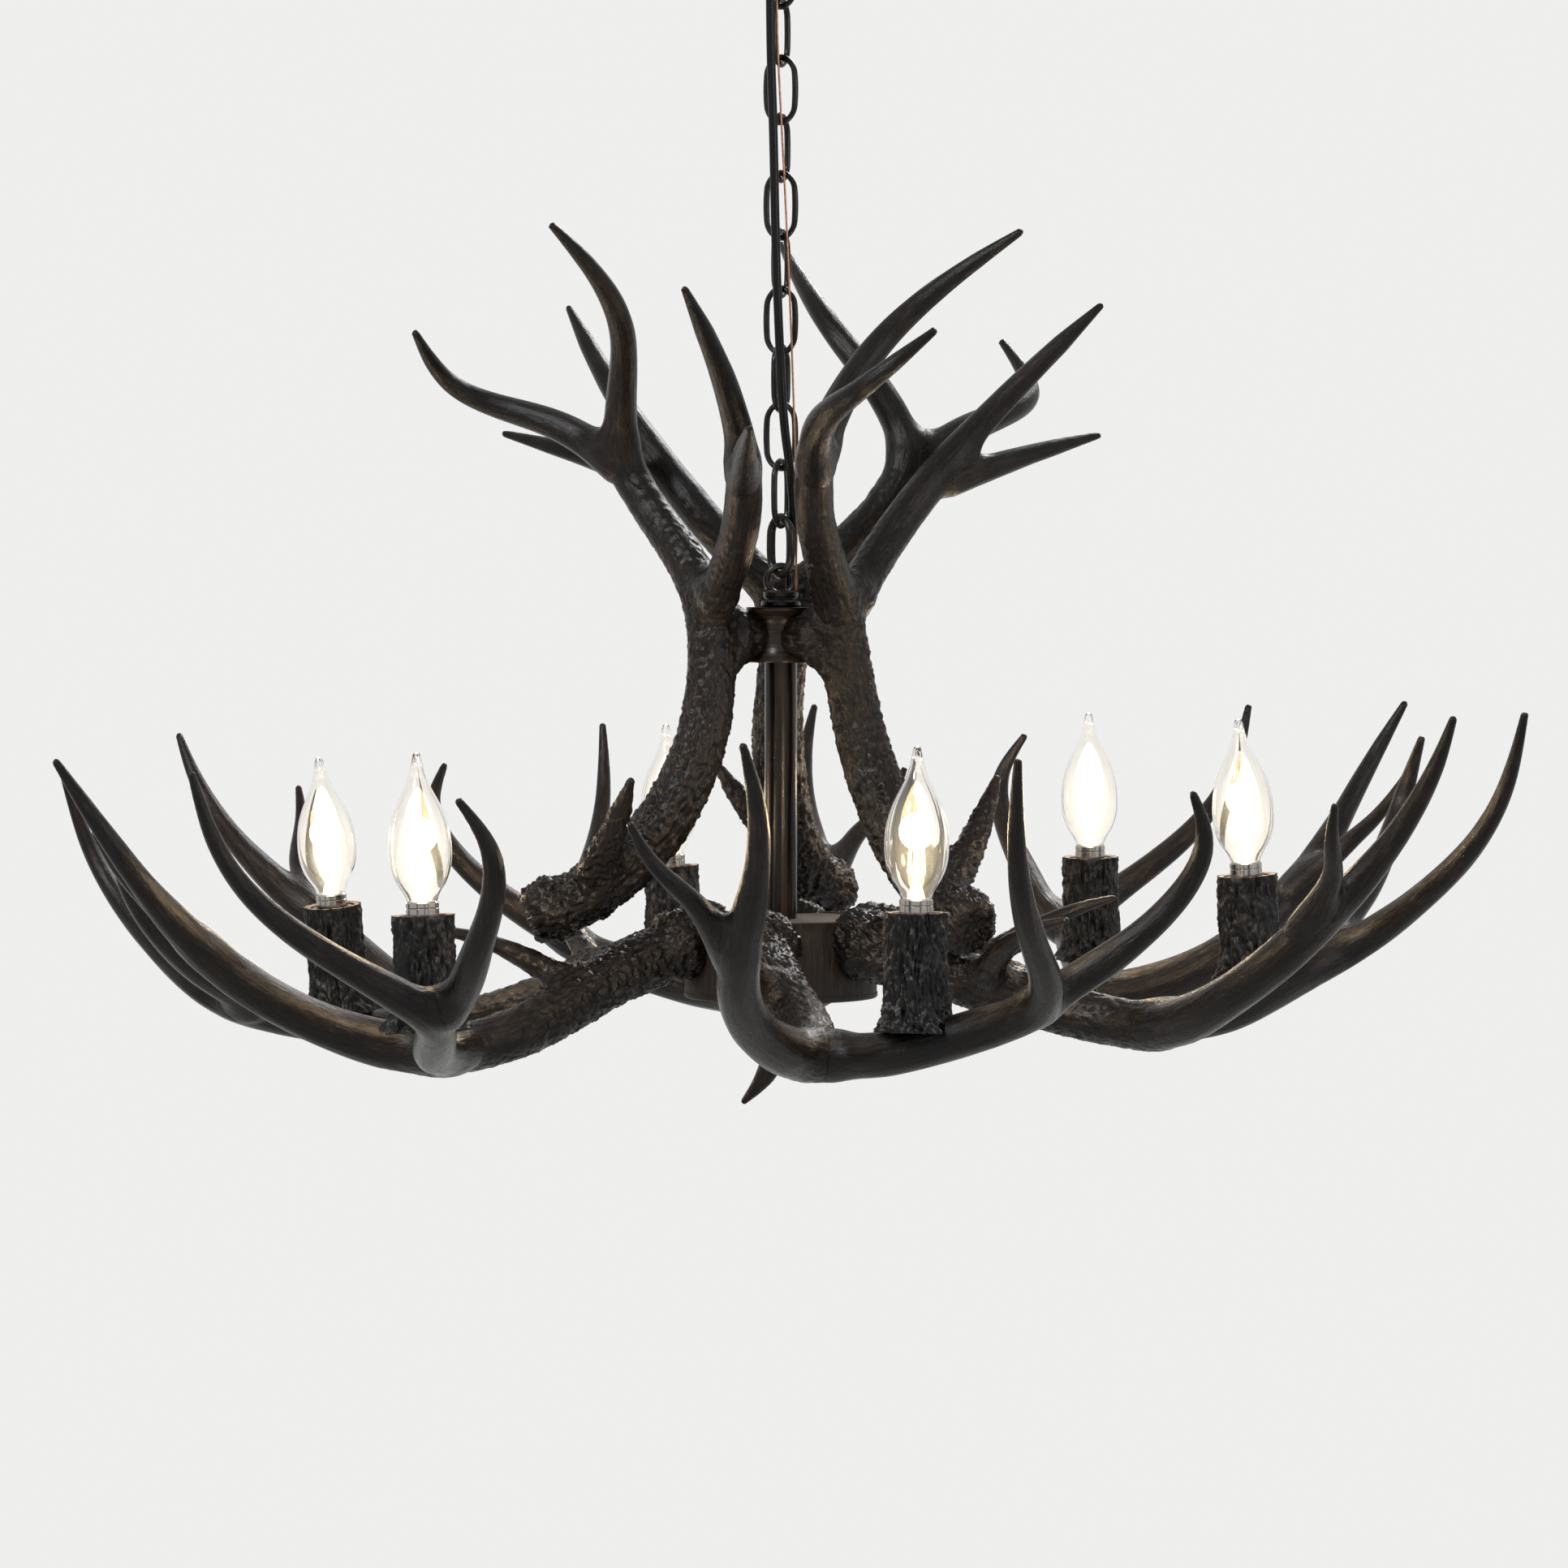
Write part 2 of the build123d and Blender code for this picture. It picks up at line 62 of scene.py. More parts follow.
earth_points = [(-2.6, -14.2, bush_low), (-2.6, -14.2, -86.0),
                (0.2, -14.6, -141.0), (3.0, -14.7, -195.0), (5.2, -14.3, -245.0),
                (7.2, -14.5, -296.0), (8.6, -14.6, -345.0), (9.5, -8.0, -378.0),
                (8.9, -3.4, -402.0), (8.9, -3.4, foot_top)]


def add_node(mat, kind, settings=(), **sockets):
    """A node of a material, with its settings and the values of its sockets."""
    made = mat.node_tree.nodes.new(kind)
    for key, value in dict(settings).items():
        setattr(made, key, value)
    for key, value in sockets.items():
        made.inputs[key.replace("_", " ")].default_value = value
    return made


def join(mat, source, output, target, entry):
    mat.node_tree.links.new(source.outputs[output], target.inputs[entry])


def shader_of(mat):
    return mat.node_tree.nodes["Principled BSDF"]


def finish(name, colour, roughness, metallic=0.0, specular=0.5):
    """A plain starting finish: later steps give it its mottling and its surface."""
    mat = bpy.data.materials.new(name)
    mat.use_nodes = True
    shader = shader_of(mat)
    shader.inputs["Base Color"].default_value = (*colour, 1.0)
    shader.inputs["Roughness"].default_value = roughness
    shader.inputs["Metallic"].default_value = metallic
    shader.inputs["Specular IOR Level"].default_value = specular
    return mat


def pattern(mat, size_mm, stretch=(1, 1, 1), along=None, detail=3.0, rough=0.55):
    """Noise of about size_mm, on the piece's own coordinates or on a named attribute."""
    if along:
        source = add_node(mat, "ShaderNodeAttribute", {"attribute_name": along})
        output = "Vector"
    else:
        source = add_node(mat, "ShaderNodeTexCoord")
        output = "Object"
    scale = tuple(s / (size_mm * MM) for s in stretch)
    mapping = add_node(mat, "ShaderNodeMapping", Scale=scale)
    join(mat, source, output, mapping, "Vector")
    made = add_node(mat, "ShaderNodeTexNoise", Scale=1.0, Detail=detail, Roughness=rough)
    join(mat, mapping, "Vector", made, "Vector")
    return made


def ramp(mat, source, stops):
    """A colour ramp with (position, colour) stops, read along a pattern."""
    made = add_node(mat, "ShaderNodeValToRGB")
    band = made.color_ramp
    while len(band.elements) < len(stops):
        band.elements.new(0.5)
    for element, (place, colour) in zip(band.elements, stops):
        element.position = place
        element.color = (*colour, 1.0)
    join(mat, source, "Fac", made, "Fac")
    return made


def remap(mat, source, output, before, after=(0.0, 1.0)):
    """Carries a value from one (low, high) range to another."""
    made = add_node(mat, "ShaderNodeMapRange", From_Min=before[0], From_Max=before[1],
                    To_Min=after[0], To_Max=after[1])
    join(mat, source, output, made, "Value")
    return made


def colour_by(mat, source, stops):
    join(mat, ramp(mat, source, stops), "Color", shader_of(mat), "Base Color")


def rough_by(mat, source, low, high):
    join(mat, remap(mat, source, "Fac", (0.0, 1.0), (low, high)), "Result", shader_of(mat),
         "Roughness")


def bump(mat, source, height_mm, strength=1.0, under=None):
    """Relief from a pattern, laid over an earlier one."""
    made = add_node(mat, "ShaderNodeBump", Strength=strength, Distance=height_mm * MM)
    join(mat, source, "Fac", made, "Height")
    if under:
        join(mat, under, "Normal", made, "Normal")
    join(mat, made, "Normal", shader_of(mat), "Normal")
    return made


cord_sheath = finish("cord sheath", (0.0035, 0.0034, 0.0036), 0.38, specular=0.16)
sheath_grain = pattern(cord_sheath, 1.2)
rough_by(cord_sheath, sheath_grain, 0.2, 0.36)
bump(cord_sheath, sheath_grain, 0.05)

bare_copper = finish("bare copper", (0.55, 0.27, 0.13), 0.3, metallic=1.0)
copper_tarnish = pattern(bare_copper, 3.0)
colour_by(bare_copper, copper_tarnish, [(0.3, (0.42, 0.21, 0.11)), (0.7, (0.20, 0.095, 0.055))])
bump(bare_copper, copper_tarnish, 0.03)


def put(name, data):
    """An object with its data, linked into the scene."""
    made = bpy.data.objects.new(name, data)
    bpy.context.collection.objects.link(made)
    return made


def shaped_mesh(holder):
    """The mesh of an object's curve, or of its shape after its modifiers."""
    graph = bpy.context.evaluated_depsgraph_get()
    return bpy.data.meshes.new_from_object(holder.evaluated_get(graph))


def hang_cord(piece_name, name, points, diameter, mat):
    """A cord on one smooth line, with the points of its route as control points."""
    curve = bpy.data.curves.new(name, "CURVE")
    curve.dimensions = "3D"
    curve.bevel_resolution = 6
    curve.resolution_u = 16
    curve.use_fill_caps = True
    line = curve.splines.new("NURBS")
    line.points.add(len(points) - 1)
    for control, place in zip(line.points, points):
        control.co = (*(c * MM for c in place), 1.0)
    line.order_u = 3
    line.use_endpoint_u = True
    holder = put("route", curve)
    route = shaped_mesh(holder)
    curve.bevel_depth = diameter / 2 * MM
    tube = shaped_mesh(holder)
    bpy.data.objects.remove(holder)
    bpy.data.meshes.remove(route)
    tube.materials.clear()
    tube.materials.append(mat)
    made = put(piece_name, tube)
    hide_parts(name)
    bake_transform(made)


hang_cord("black_cord", "supply_cord", cord_points, cord_diameter, cord_sheath)
hang_cord("copper_wire", "earth_wire", earth_points, earth_diameter, bare_copper)

# ---- ceiling rose ----------------------------------------------------
# A spun steel cup, painted gloss black, is held up to the ceiling by a nut on the threaded
# stem of its wire eye. The stem passes through a zinc-plated fixing bar inside the cup.
canopy_r = 60.0
canopy_wall = 1.5
cup_corner_r = 9.0
eye_r = 8.3
eye_wire_r = 2.0
hook_z = -33.8
link_turn = -25.0
nipple_r = 4.9
nipple_gap = 0.3
bar_thickness = 2.5
nut_height = 5.0
earth_bush_r = 1.8
sharp_angle = 40.0

black_metal = finish("black metal", (0.008, 0.008, 0.008), 0.24, specular=0.22)
metal_mottle = pattern(black_metal, 9.0)
colour_by(black_metal, metal_mottle,
          [(0.35, (0.006, 0.006, 0.006)), (0.75, (0.016, 0.013, 0.011))])
rough_by(black_metal, metal_mottle, 0.16, 0.34)
metal_orange_peel = pattern(black_metal, 1.4)
bump(black_metal, metal_orange_peel, 0.04)

zinc_plate = finish("zinc plate", (0.55, 0.55, 0.53), 0.32, metallic=1.0)
zinc_clouds = pattern(zinc_plate, 5.0)
colour_by(zinc_plate, zinc_clouds, [(0.3, (0.48, 0.48, 0.46)), (0.7, (0.66, 0.65, 0.61))])
rough_by(zinc_plate, zinc_clouds, 0.25, 0.45)
bump(zinc_plate, zinc_clouds, 0.03)


def spun(profile, steps=64, closed=True):
    """A turned form from (radius, height) points in millimetres, its ends joined if closed."""
    bm = bmesh.new()
    verts = [bm.verts.new((r, 0.0, z)) for r, z in profile]
    pairs = list(zip(verts, verts[1:])) + ([(verts[-1], verts[0])] if closed else [])
    edges = [bm.edges.new(pair) for pair in pairs]
    bmesh.ops.spin(bm, geom=verts + edges, axis=(0, 0, 1), cent=(0, 0, 0),
                   angle=math.tau, steps=steps, use_merge=True)
    bmesh.ops.remove_doubles(bm, verts=bm.verts, dist=0.0005)
    return bm


def soften(bm, width):
    """Rounds every sharp edge."""
    sharp = [e for e in bm.edges if e.calc_face_angle(0.0) > math.radians(sharp_angle)]
    bmesh.ops.bevel(bm, geom=sharp, offset=width, segments=2, profile=0.5,
                    affect="EDGES", material=-1, clamp_overlap=True)


def mesh_of(bm, name):
    """The mesh of a finished shape."""
    mesh = bpy.data.meshes.new(name)
    bm.to_mesh(mesh)
    bm.free()
    return mesh


def piece(name, bm, mat, body, nodes=(), crease=35, place=None):
    """A finished piece in its place: millimetres become metres and faces point outwards."""
    if place is not None:
        bmesh.ops.transform(bm, matrix=place, verts=bm.verts)
    bmesh.ops.recalc_face_normals(bm, faces=bm.faces)
    for face in bm.faces:
        face.smooth = True
    for edge in bm.edges:
        edge.smooth = edge.calc_face_angle(0.0) < math.radians(crease)
    bmesh.ops.scale(bm, vec=(MM, MM, MM), verts=bm.verts)
    mesh = mesh_of(bm, name)
    mesh.materials.append(mat)
    made = put(name, mesh)
    if nodes:
        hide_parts(*nodes)
    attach(made, body)
    return made


def turn_about(degrees, axis):
    return Matrix.Rotation(math.radians(degrees), 4, axis)


def shift(x, y, z):
    return Matrix.Translation((x, y, z))


def drum(bm, radius, low, high, sides=48, x=0.0, y=0.0):
    """A solid cylinder between two levels, added to bm."""
    return bmesh.ops.create_cone(bm, cap_ends=True, segments=sides, radius1=radius,
                                 radius2=radius, depth=high - low,
                                 matrix=shift(x, y, (low + high) / 2))["verts"]


def wire_eye(bm, place):
    """A ring of round wire standing upright, added to bm at place."""
    ring = bmesh.ops.create_circle(bm, segments=20, radius=eye_wire_r,
                                   matrix=place @ shift(eye_r, 0, 0))["verts"]
    edges = {e for v in ring for e in v.link_edges}
    centre = place.to_translation()
    axis = place.to_3x3() @ Vector((0, 1, 0))
    bmesh.ops.spin(bm, geom=ring + list(edges), axis=axis, cent=centre,
                   angle=math.tau, steps=56, use_merge=True)


def dress(name, mat):
    """Gives a CAD node that stands as it is its finish."""
    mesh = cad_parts[name].data
    mesh.materials.clear()
    mesh.materials.append(mat)


def cup_corner(radius, start, end):
    """The rounded corner of the cup, from one angle to another."""
    return [(canopy_r - cup_corner_r + radius * math.cos(a),
             cup_low + cup_corner_r - radius * math.sin(a)) for a in np.linspace(start, end, 9)]


cup = spun([(canopy_r, 0), *cup_corner(cup_corner_r, 0, math.pi / 2),
            (nipple_r + nipple_gap, cup_low), (nipple_r + nipple_gap, cup_low + canopy_wall),
            *cup_corner(cup_corner_r - canopy_wall, math.pi / 2, 0),
            (canopy_r - canopy_wall, 0)], 96)
soften(cup, 0.3)
piece("ceiling_cup", cup, black_metal, "ceiling_rose", ["canopy"])

hook = spun([(0, cup_low - 0.3), (7, cup_low - 0.3), (7, cup_low - 3), (5.4, cup_low - 4.2),
             (5, cup_low - 5), (0, cup_low - 5)])
soften(hook, 0.25)
wire_eye(hook, shift(0, 0, hook_z) @ turn_about(link_turn + 90, "Z"))
drum(hook, nipple_r, cup_low - 0.3, 0)
piece("ceiling_eye", hook, black_metal, "ceiling_rose", ["hook_loop"])

nut_low = -bar_thickness - 0.3 - nut_height
canopy_nut = bmesh.new()
drum(canopy_nut, 8, nut_low, nut_low + nut_height, sides=6)
soften(canopy_nut, 0.3)
piece("canopy_nut", canopy_nut, zinc_plate, "ceiling_rose")

dress("mounting_bar", zinc_plate)

bushing = spun([(0, bush_low), (4.2, bush_low), (4.8, cup_low - 4), (5.2, cup_low - 1.6),
                (6, cup_low - 1.2), (6, cup_low), (0, cup_low)], 40)
bmesh.ops.translate(bushing, vec=(*cord_points[0][:2], 0), verts=bushing.verts)
drum(bushing, earth_bush_r, bush_low, cup_low, 20, *earth_points[0][:2])
piece("cord_bushing", bushing, cord_sheath, "ceiling_rose", ["cord_bush"])

# ---- chain -----------------------------------------------------------
# Ten oval links of round steel wire with bowed sides, painted gloss black, hang from the eye.
# Neighbours stand square to each other, and a larger, thicker link takes the loop below.
link_top = -37.75
link_length = 41.6
link_width = 22.3
link_wire_r = 1.85
link_count = 10
link_pitch = 33.7
big_link_top = -374.0
big_link_length = 38.8
big_link_width = 24.0
big_link_wire_r = 2.6
big_link_turn = -52.0
side_steps = 8
end_narrowing = 0.2


def oval_link(bm, place, length, width, wire_r):
    """A link in the XZ plane with bowed sides, its top wire's centre at the place's origin."""
    half = width / 2 - wire_r
    top, low = -half, -(length - 2 * wire_r) + half
    first = bmesh.ops.create_circle(bm, segments=20, radius=wire_r,
                                    matrix=shift(half, 0, low))["verts"]
    new = set(first)
    ring = list({e for v in first for e in v.link_edges})
    for centre, level in ((top, low), (low, top)):
        rise = Vector((0, 0, (centre - level) / side_steps))
        for _ in range(side_steps):
            grown = bmesh.ops.extrude_edge_only(bm, edges=ring)["geom"]
            moved = [g for g in grown if isinstance(g, bmesh.types.BMVert)]
            bmesh.ops.translate(bm, vec=rise, verts=moved)
            new.update(moved)
            ring = [g for g in grown if isinstance(g, bmesh.types.BMEdge)
                    and all(v in moved for v in g.verts)]
        before = set(bm.verts)
        spun_end = bmesh.ops.spin(bm, geom=ring + moved, axis=(0, -1, 0),
                                  cent=(0, 0, centre), angle=math.pi, steps=20)["geom_last"]
        new.update(set(bm.verts) - before)
        ring = [g for g in spun_end if isinstance(g, bmesh.types.BMEdge)]
    bmesh.ops.remove_doubles(bm, verts=list(new), dist=0.001)
    new = [v for v in new if v.is_valid]
    for vert in new:
        from_middle = (vert.co.z - (top + low) / 2) / (length / 2)
        vert.co.x *= 1 - end_narrowing * from_middle ** 2
    bmesh.ops.transform(bm, matrix=place, verts=new)


def chain_place(index):
    return shift(0, 0, link_top - index * link_pitch) @ turn_about(
        link_turn + 90 * (index % 2), "Z")


upper_link = bmesh.new()
oval_link(upper_link, chain_place(0), link_length, link_width, link_wire_r)
piece("upper_link", upper_link, black_metal, "top_link", ["chain_link_top"])
lower_links = bmesh.new()
for number in range(1, link_count):
    oval_link(lower_links, chain_place(number), link_length, link_width, link_wire_r)
piece("chain", lower_links, black_metal, "pendant", ["chain_links"])
large_link = bmesh.new()
oval_link(large_link, shift(0, 0, big_link_top) @ turn_about(big_link_turn, "Z"),
          big_link_length, big_link_width, big_link_wire_r)
piece("large_link", large_link, black_metal, "pendant", ["connector_link"])

# ---- wire loop and collar --------------------------------------------
# A wire ring on a stepped foot, turned from one bar, screws onto the stem tube over the
# collar, which has a thin flange above and a bell-shaped foot, and shows the marks of turning.
loop_z = -410.8
collar_top = -426.7
collar_height = 32.4
collar_mid = collar_top - collar_height / 2
collar_r = 15.3
collar_foot_r = 20.0
flange_r = 20.4
flange_height = 1.8
throat_curve = 2.4
bell_curve = 2.75
tube_r = 9.5
slip_gap = 0.15

turned_metal = finish("turned black metal", (0.012, 0.010, 0.009), 0.3, specular=0.2)
turning = pattern(turned_metal, 1.1, stretch=(0.02, 0.02, 1.0), detail=2.0)
colour_by(turned_metal, turning, [(0.35, (0.0045, 0.004, 0.004)), (0.72, (0.024, 0.015, 0.010))])
rough_by(turned_metal, turning, 0.2, 0.45)
bump(turned_metal, turning, 0.12)

loop = spun([(0, foot_top), (8.9, foot_top), (10.3, foot_top - 1.1), (10.3, foot_top - 3.4),
             (9.3, foot_top - 4.8), (9.3, foot_top - 5.2), (11.0, foot_top - 6.2),
             (11.6, foot_top - 7.2), (11.6, foot_top - 9.2), (11.2, collar_top),
             (0, collar_top)])
soften(loop, 0.3)
wire_eye(loop, shift(0, 0, loop_z))
piece("wire_loop", loop, black_metal, "pendant", ["top_loop"])

collar_low = collar_top - collar_height
flange_low = collar_top - flange_height
throat = [(collar_r + (flange_r - collar_r) * t ** throat_curve,
           collar_mid + 6 + (flange_low - collar_mid - 6) * t) for t in np.linspace(1, 0, 9)]
bell = [(collar_r + (collar_foot_r - collar_r) * t ** bell_curve,
         collar_mid - 1 + (collar_low + 1 - collar_mid + 1) * t) for t in np.linspace(0, 1, 12)]
collar = spun([(flange_r, collar_top), *throat, *bell, (collar_foot_r, collar_low),
               (tube_r + slip_gap, collar_low), (tube_r + slip_gap, collar_top)], 96)
bmesh.ops.dissolve_degenerate(collar, dist=0.01, edges=collar.edges)
soften(collar, 0.35)
piece("collar_spool", collar, turned_metal, "pendant", ["collar"])

# ---- stem tube -------------------------------------------------------
# The stem is a drawn steel tube, painted gloss black, with faint brown streaks in its colour
# along its length.
tube_low = -621.0
hub_top = -609.0

stem_paint = finish("stem paint", (0.006, 0.005, 0.005), 0.14, specular=0.2)
# Streaks along the tube: near-black to faint brown in colour, glossier to rougher, with a slight
# relief.
brown_streaks = pattern(stem_paint, 2.6, stretch=(1, 1, 0.03), detail=4.0)
colour_by(stem_paint, brown_streaks, [(0.45, (0.0035, 0.003, 0.0028)), (0.8, (0.022, 0.012, 0.007))])
rough_by(stem_paint, brown_streaks, 0.08, 0.3)
bump(stem_paint, brown_streaks, 0.12)

stem = bmesh.new()
drum(stem, tube_r, tube_low, collar_top - 0.05, sides=96)
piece("stem", stem, stem_paint, "pendant", ["stem_tube"])

# ---- hub -------------------------------------------------------------
# The hub is a cast drum with a grained side like split wood and a flat top inside a thin rim,
# closed below by a shallow domed cover. A nut inside pulls it against the stem.
hub_r = 57.0
hub_height = 44.0
hub_wall = 4.0
hub_rim = 2.5
plate_drop = 0.8
rib_width = 3.1
rib_length = 34
dome_r = 35.0
dome_depth = 12.0
cover_thickness = 3.0

hub_side = finish("hub side", (0.02, 0.014, 0.011), 0.5, specular=0.2)
hub_grain = pattern(hub_side, 3.2, stretch=(1, 1, 0.12), detail=5.0, rough=0.65)
colour_by(hub_side, hub_grain,
          [(0.3, (0.0035, 0.0028, 0.0025)), (0.6, (0.012, 0.0080, 0.0060)),
           (0.85, (0.055, 0.032, 0.020))])
rough_by(hub_side, hub_grain, 0.34, 0.62)
bump(hub_side, hub_grain, 1.2)

hub_plate = finish("hub plate", (0.05, 0.04, 0.035), 0.6, specular=0.15)
plate_rub = pattern(hub_plate, 14.0, detail=6.0, rough=0.65)
colour_by(hub_plate, plate_rub, [(0.3, (0.016, 0.012, 0.010)), (0.7, (0.050, 0.040, 0.033))])
rough_by(hub_plate, plate_rub, 0.5, 0.75)
bump(hub_plate, plate_rub, 0.12)

hub_low = hub_top - hub_height
side = spun([(hub_r - hub_rim, hub_top), (hub_r - 0.6, hub_top), (hub_r, hub_top - 0.8),
             *[(hub_r, hub_top - 2 - k * 4.0) for k in range(11)], (hub_r, hub_low),
             (hub_r - hub_wall, hub_low), (hub_r - hub_wall, hub_top - hub_wall),
             (tube_r + slip_gap, hub_top - hub_wall), (tube_r + slip_gap, hub_top - plate_drop),
             (hub_r - hub_rim, hub_top - plate_drop)], 160)
for vert in side.verts:
    reach = vert.co.xy.length
    if reach > hub_r - 0.2 and vert.co.z < hub_top - 1:
        rib = noise.noise(Vector((vert.co.x / rib_width, vert.co.y / rib_width,
                                  vert.co.z / rib_length)))
        vert.co.xy *= 1 + (0.55 * rib - 0.45) / reach
body = piece("hub_drum", side, hub_side, "pendant", ["hub"])
body.data.materials.append(hub_plate)
for face in body.data.polygons:
    if face.center.z > (hub_top - 1.0) * MM and abs(face.normal.z) > 0.7:
        face.material_index = 1

dome_arc = (dome_r ** 2 + dome_depth ** 2) / (2 * dome_depth)
cover_low = hub_low - cover_thickness
dome = [(dome_r * t, cover_low - (math.sqrt(dome_arc ** 2 - (dome_r * t) ** 2)
                                  - (dome_arc - dome_depth))) for t in np.linspace(0, 1, 14)]
cover = spun([*dome, (hub_r - 0.8, cover_low), (hub_r, cover_low + 0.8),
              (hub_r, hub_low), (0, hub_low)], 96, closed=False)
piece("domed_cover", cover, hub_side, "pendant", ["hub_cover"])

for name in ("tube_nut", "stud_nuts", "antler_studs", "collar_bolts"):
    dress(name, zinc_plate)

ivory_block = finish("ivory block", (0.72, 0.69, 0.60), 0.45)
block_clouds = pattern(ivory_block, 6.0)
colour_by(ivory_block, block_clouds, [(0.3, (0.66, 0.62, 0.53)), (0.7, (0.76, 0.73, 0.65))])
dress("terminal_block", ivory_block)

# ---- upper antlers ---------------------------------------------------
# Three copies of one resin casting stand round the collar, burr ends down. The casting keeps
# the pearled bark of the burr and the long grain of the tines, and worn ridges show brown.
upper_azimuth = 195.0
upper_pose = [(0.5, -0.2, -0.9), (-0.1, 1.5, 0.5), (-0.6, -0.7, 0.2)]
limb_sides = 28
station_step = 3
burr_spread = 8.0
root_share = 0.5
root_fade = 44
skin_step = 1.25
skin_rounds = 5
gap_limit = 2.0
gap_pull = 0.8
web_share = 1.9
web_opening = 0.55
blend_reach = 2.5
least_share = 0.06
grain_stretch = 0.14
noise.seed_set(1)

antler_resin = finish("antler resin", (0.02, 0.014, 0.011), 0.4, specular=0.16)
long_grain = pattern(antler_resin, 1.9, along="grain", detail=5.0, rough=0.62)
fine_grain = pattern(antler_resin, 0.6, along="grain", detail=3.0, rough=0.6)
patches = pattern(antler_resin, 30.0, detail=3.0)
deep = ramp(antler_resin, long_grain,
            [(0.30, (0.0030, 0.0026, 0.0025)), (0.62, (0.0066, 0.0053, 0.0047)),
             (0.88, (0.030, 0.020, 0.014))])
worn = ramp(antler_resin, long_grain,
            [(0.34, (0.0052, 0.0043, 0.0038)), (0.60, (0.019, 0.0126, 0.0090)),
             (0.86, (0.11, 0.066, 0.039))])
wear = add_node(antler_resin, "ShaderNodeAttribute", {"attribute_name": "wear"})
wear_share = add_node(antler_resin, "ShaderNodeMath", {"operation": "MULTIPLY"})
join(antler_resin, wear, "Fac", wear_share, 0)
patch_share = remap(antler_resin, patches, "Fac", (0.42, 0.68))
join(antler_resin, patch_share, "Result", wear_share, 1)
blend = add_node(antler_resin, "ShaderNodeMix", {"data_type": "RGBA"})
join(antler_resin, wear_share, "Value", blend, "Factor")
join(antler_resin, deep, "Color", blend, 6)
join(antler_resin, worn, "Color", blend, 7)
join(antler_resin, blend, 2, shader_of(antler_resin), "Base Color")
rough_by(antler_resin, long_grain, 0.13, 0.40)
first_bump = bump(antler_resin, long_grain, 0.62)
bump(antler_resin, fine_grain, 0.14, 0.8, under=first_bump)


def smooth_line(points, steps):
    """Evenly spaced points, in millimetres, on the natural cubic line through points."""
    knots = np.array(points, float)
    count = len(knots)
    spans = np.linalg.norm(np.diff(knots, axis=0), axis=1)
    at = np.concatenate([[0], np.cumsum(spans)])
    system = np.eye(count)
    right = np.zeros((count, 3))
    for i in range(1, count - 1):
        system[i, i - 1:i + 2] = spans[i - 1], 2 * (spans[i - 1] + spans[i]), spans[i]
        right[i] = 6 * ((knots[i + 1] - knots[i]) / spans[i]
                        - (knots[i] - knots[i - 1]) / spans[i - 1])
    bend = np.linalg.solve(system, right)
    line = []
    for t in np.linspace(0, at[-1], steps):
        i = min(int(np.searchsorted(at, t, side="right")) - 1, count - 2)
        a, b, h = at[i + 1] - t, t - at[i], spans[i]
        line.append(bend[i] * a ** 3 / (6 * h) + bend[i + 1] * b ** 3 / (6 * h)
                    + (knots[i] / h - bend[i] * h / 6) * a
                    + (knots[i + 1] / h - bend[i + 1] * h / 6) * b)
    return np.array(line)


def add_limb(bm, limbs, points, radii, rough=(0.0, 0.0), start=0.0, burr=(0.0, 0.0)):
    """A tapering limb: a ring is drawn out along the line, and its stations are noted down.

    rough is how barky it is at its two ends, start is how far along the antler it begins
    inside another limb, and burr is the height of the burr's ring and its place."""
    length = float(np.linalg.norm(np.diff(np.array(points), axis=0), axis=1).sum())
    steps = max(16, int(length / station_step))
    line = smooth_line(points, steps)
    ahead = np.gradient(line, axis=0)
    shares = np.linspace(0, 1, steps)
    sizes = np.interp(shares * (len(radii) - 1), range(len(radii)), radii)
    sizes += burr[0] * np.exp(-((shares * length - burr[1]) / burr_spread) ** 2)
    if start:
        sizes *= np.clip(root_share + shares * length / root_fade, 0, 1)
    acrosses, others = [], []
    across = Vector((0, 0, 1))
    before = None
    for i in range(steps):
        tangent = Vector(ahead[i]).normalized()
        across = (across - tangent * across.dot(tangent)).normalized()
        other = tangent.cross(across)
        turn = Matrix((across, other, tangent)).transposed().to_4x4()
        place = Matrix.Translation(line[i]) @ turn @ Matrix.Scale(sizes[i], 4)
        if before is None:
            ring = bmesh.ops.create_circle(bm, segments=limb_sides, radius=1.0,
                                           cap_ends=True, matrix=place)["verts"]
            edges = list({e for v in ring for e in v.link_edges})
        else:
            grown = bmesh.ops.extrude_edge_only(bm, edges=edges)["geom"]
            ring = [g for g in grown if isinstance(g, bmesh.types.BMVert)]
            bmesh.ops.transform(bm, matrix=place @ before.inverted(), verts=ring)
            kept = set(ring)
            edges = [g for g in grown if isinstance(g, bmesh.types.BMEdge)
                     and all(v in kept for v in g.verts)]
        before = place
        acrosses.append(across.copy())
        others.append(other)
    bmesh.ops.contextual_create(bm, geom=edges)
    bark = np.maximum(0.0, rough[0] + (rough[1] - rough[0]) * shares)
    limbs.append((line, np.array(acrosses), np.array(others), sizes,
                  start + shares * length, bark))


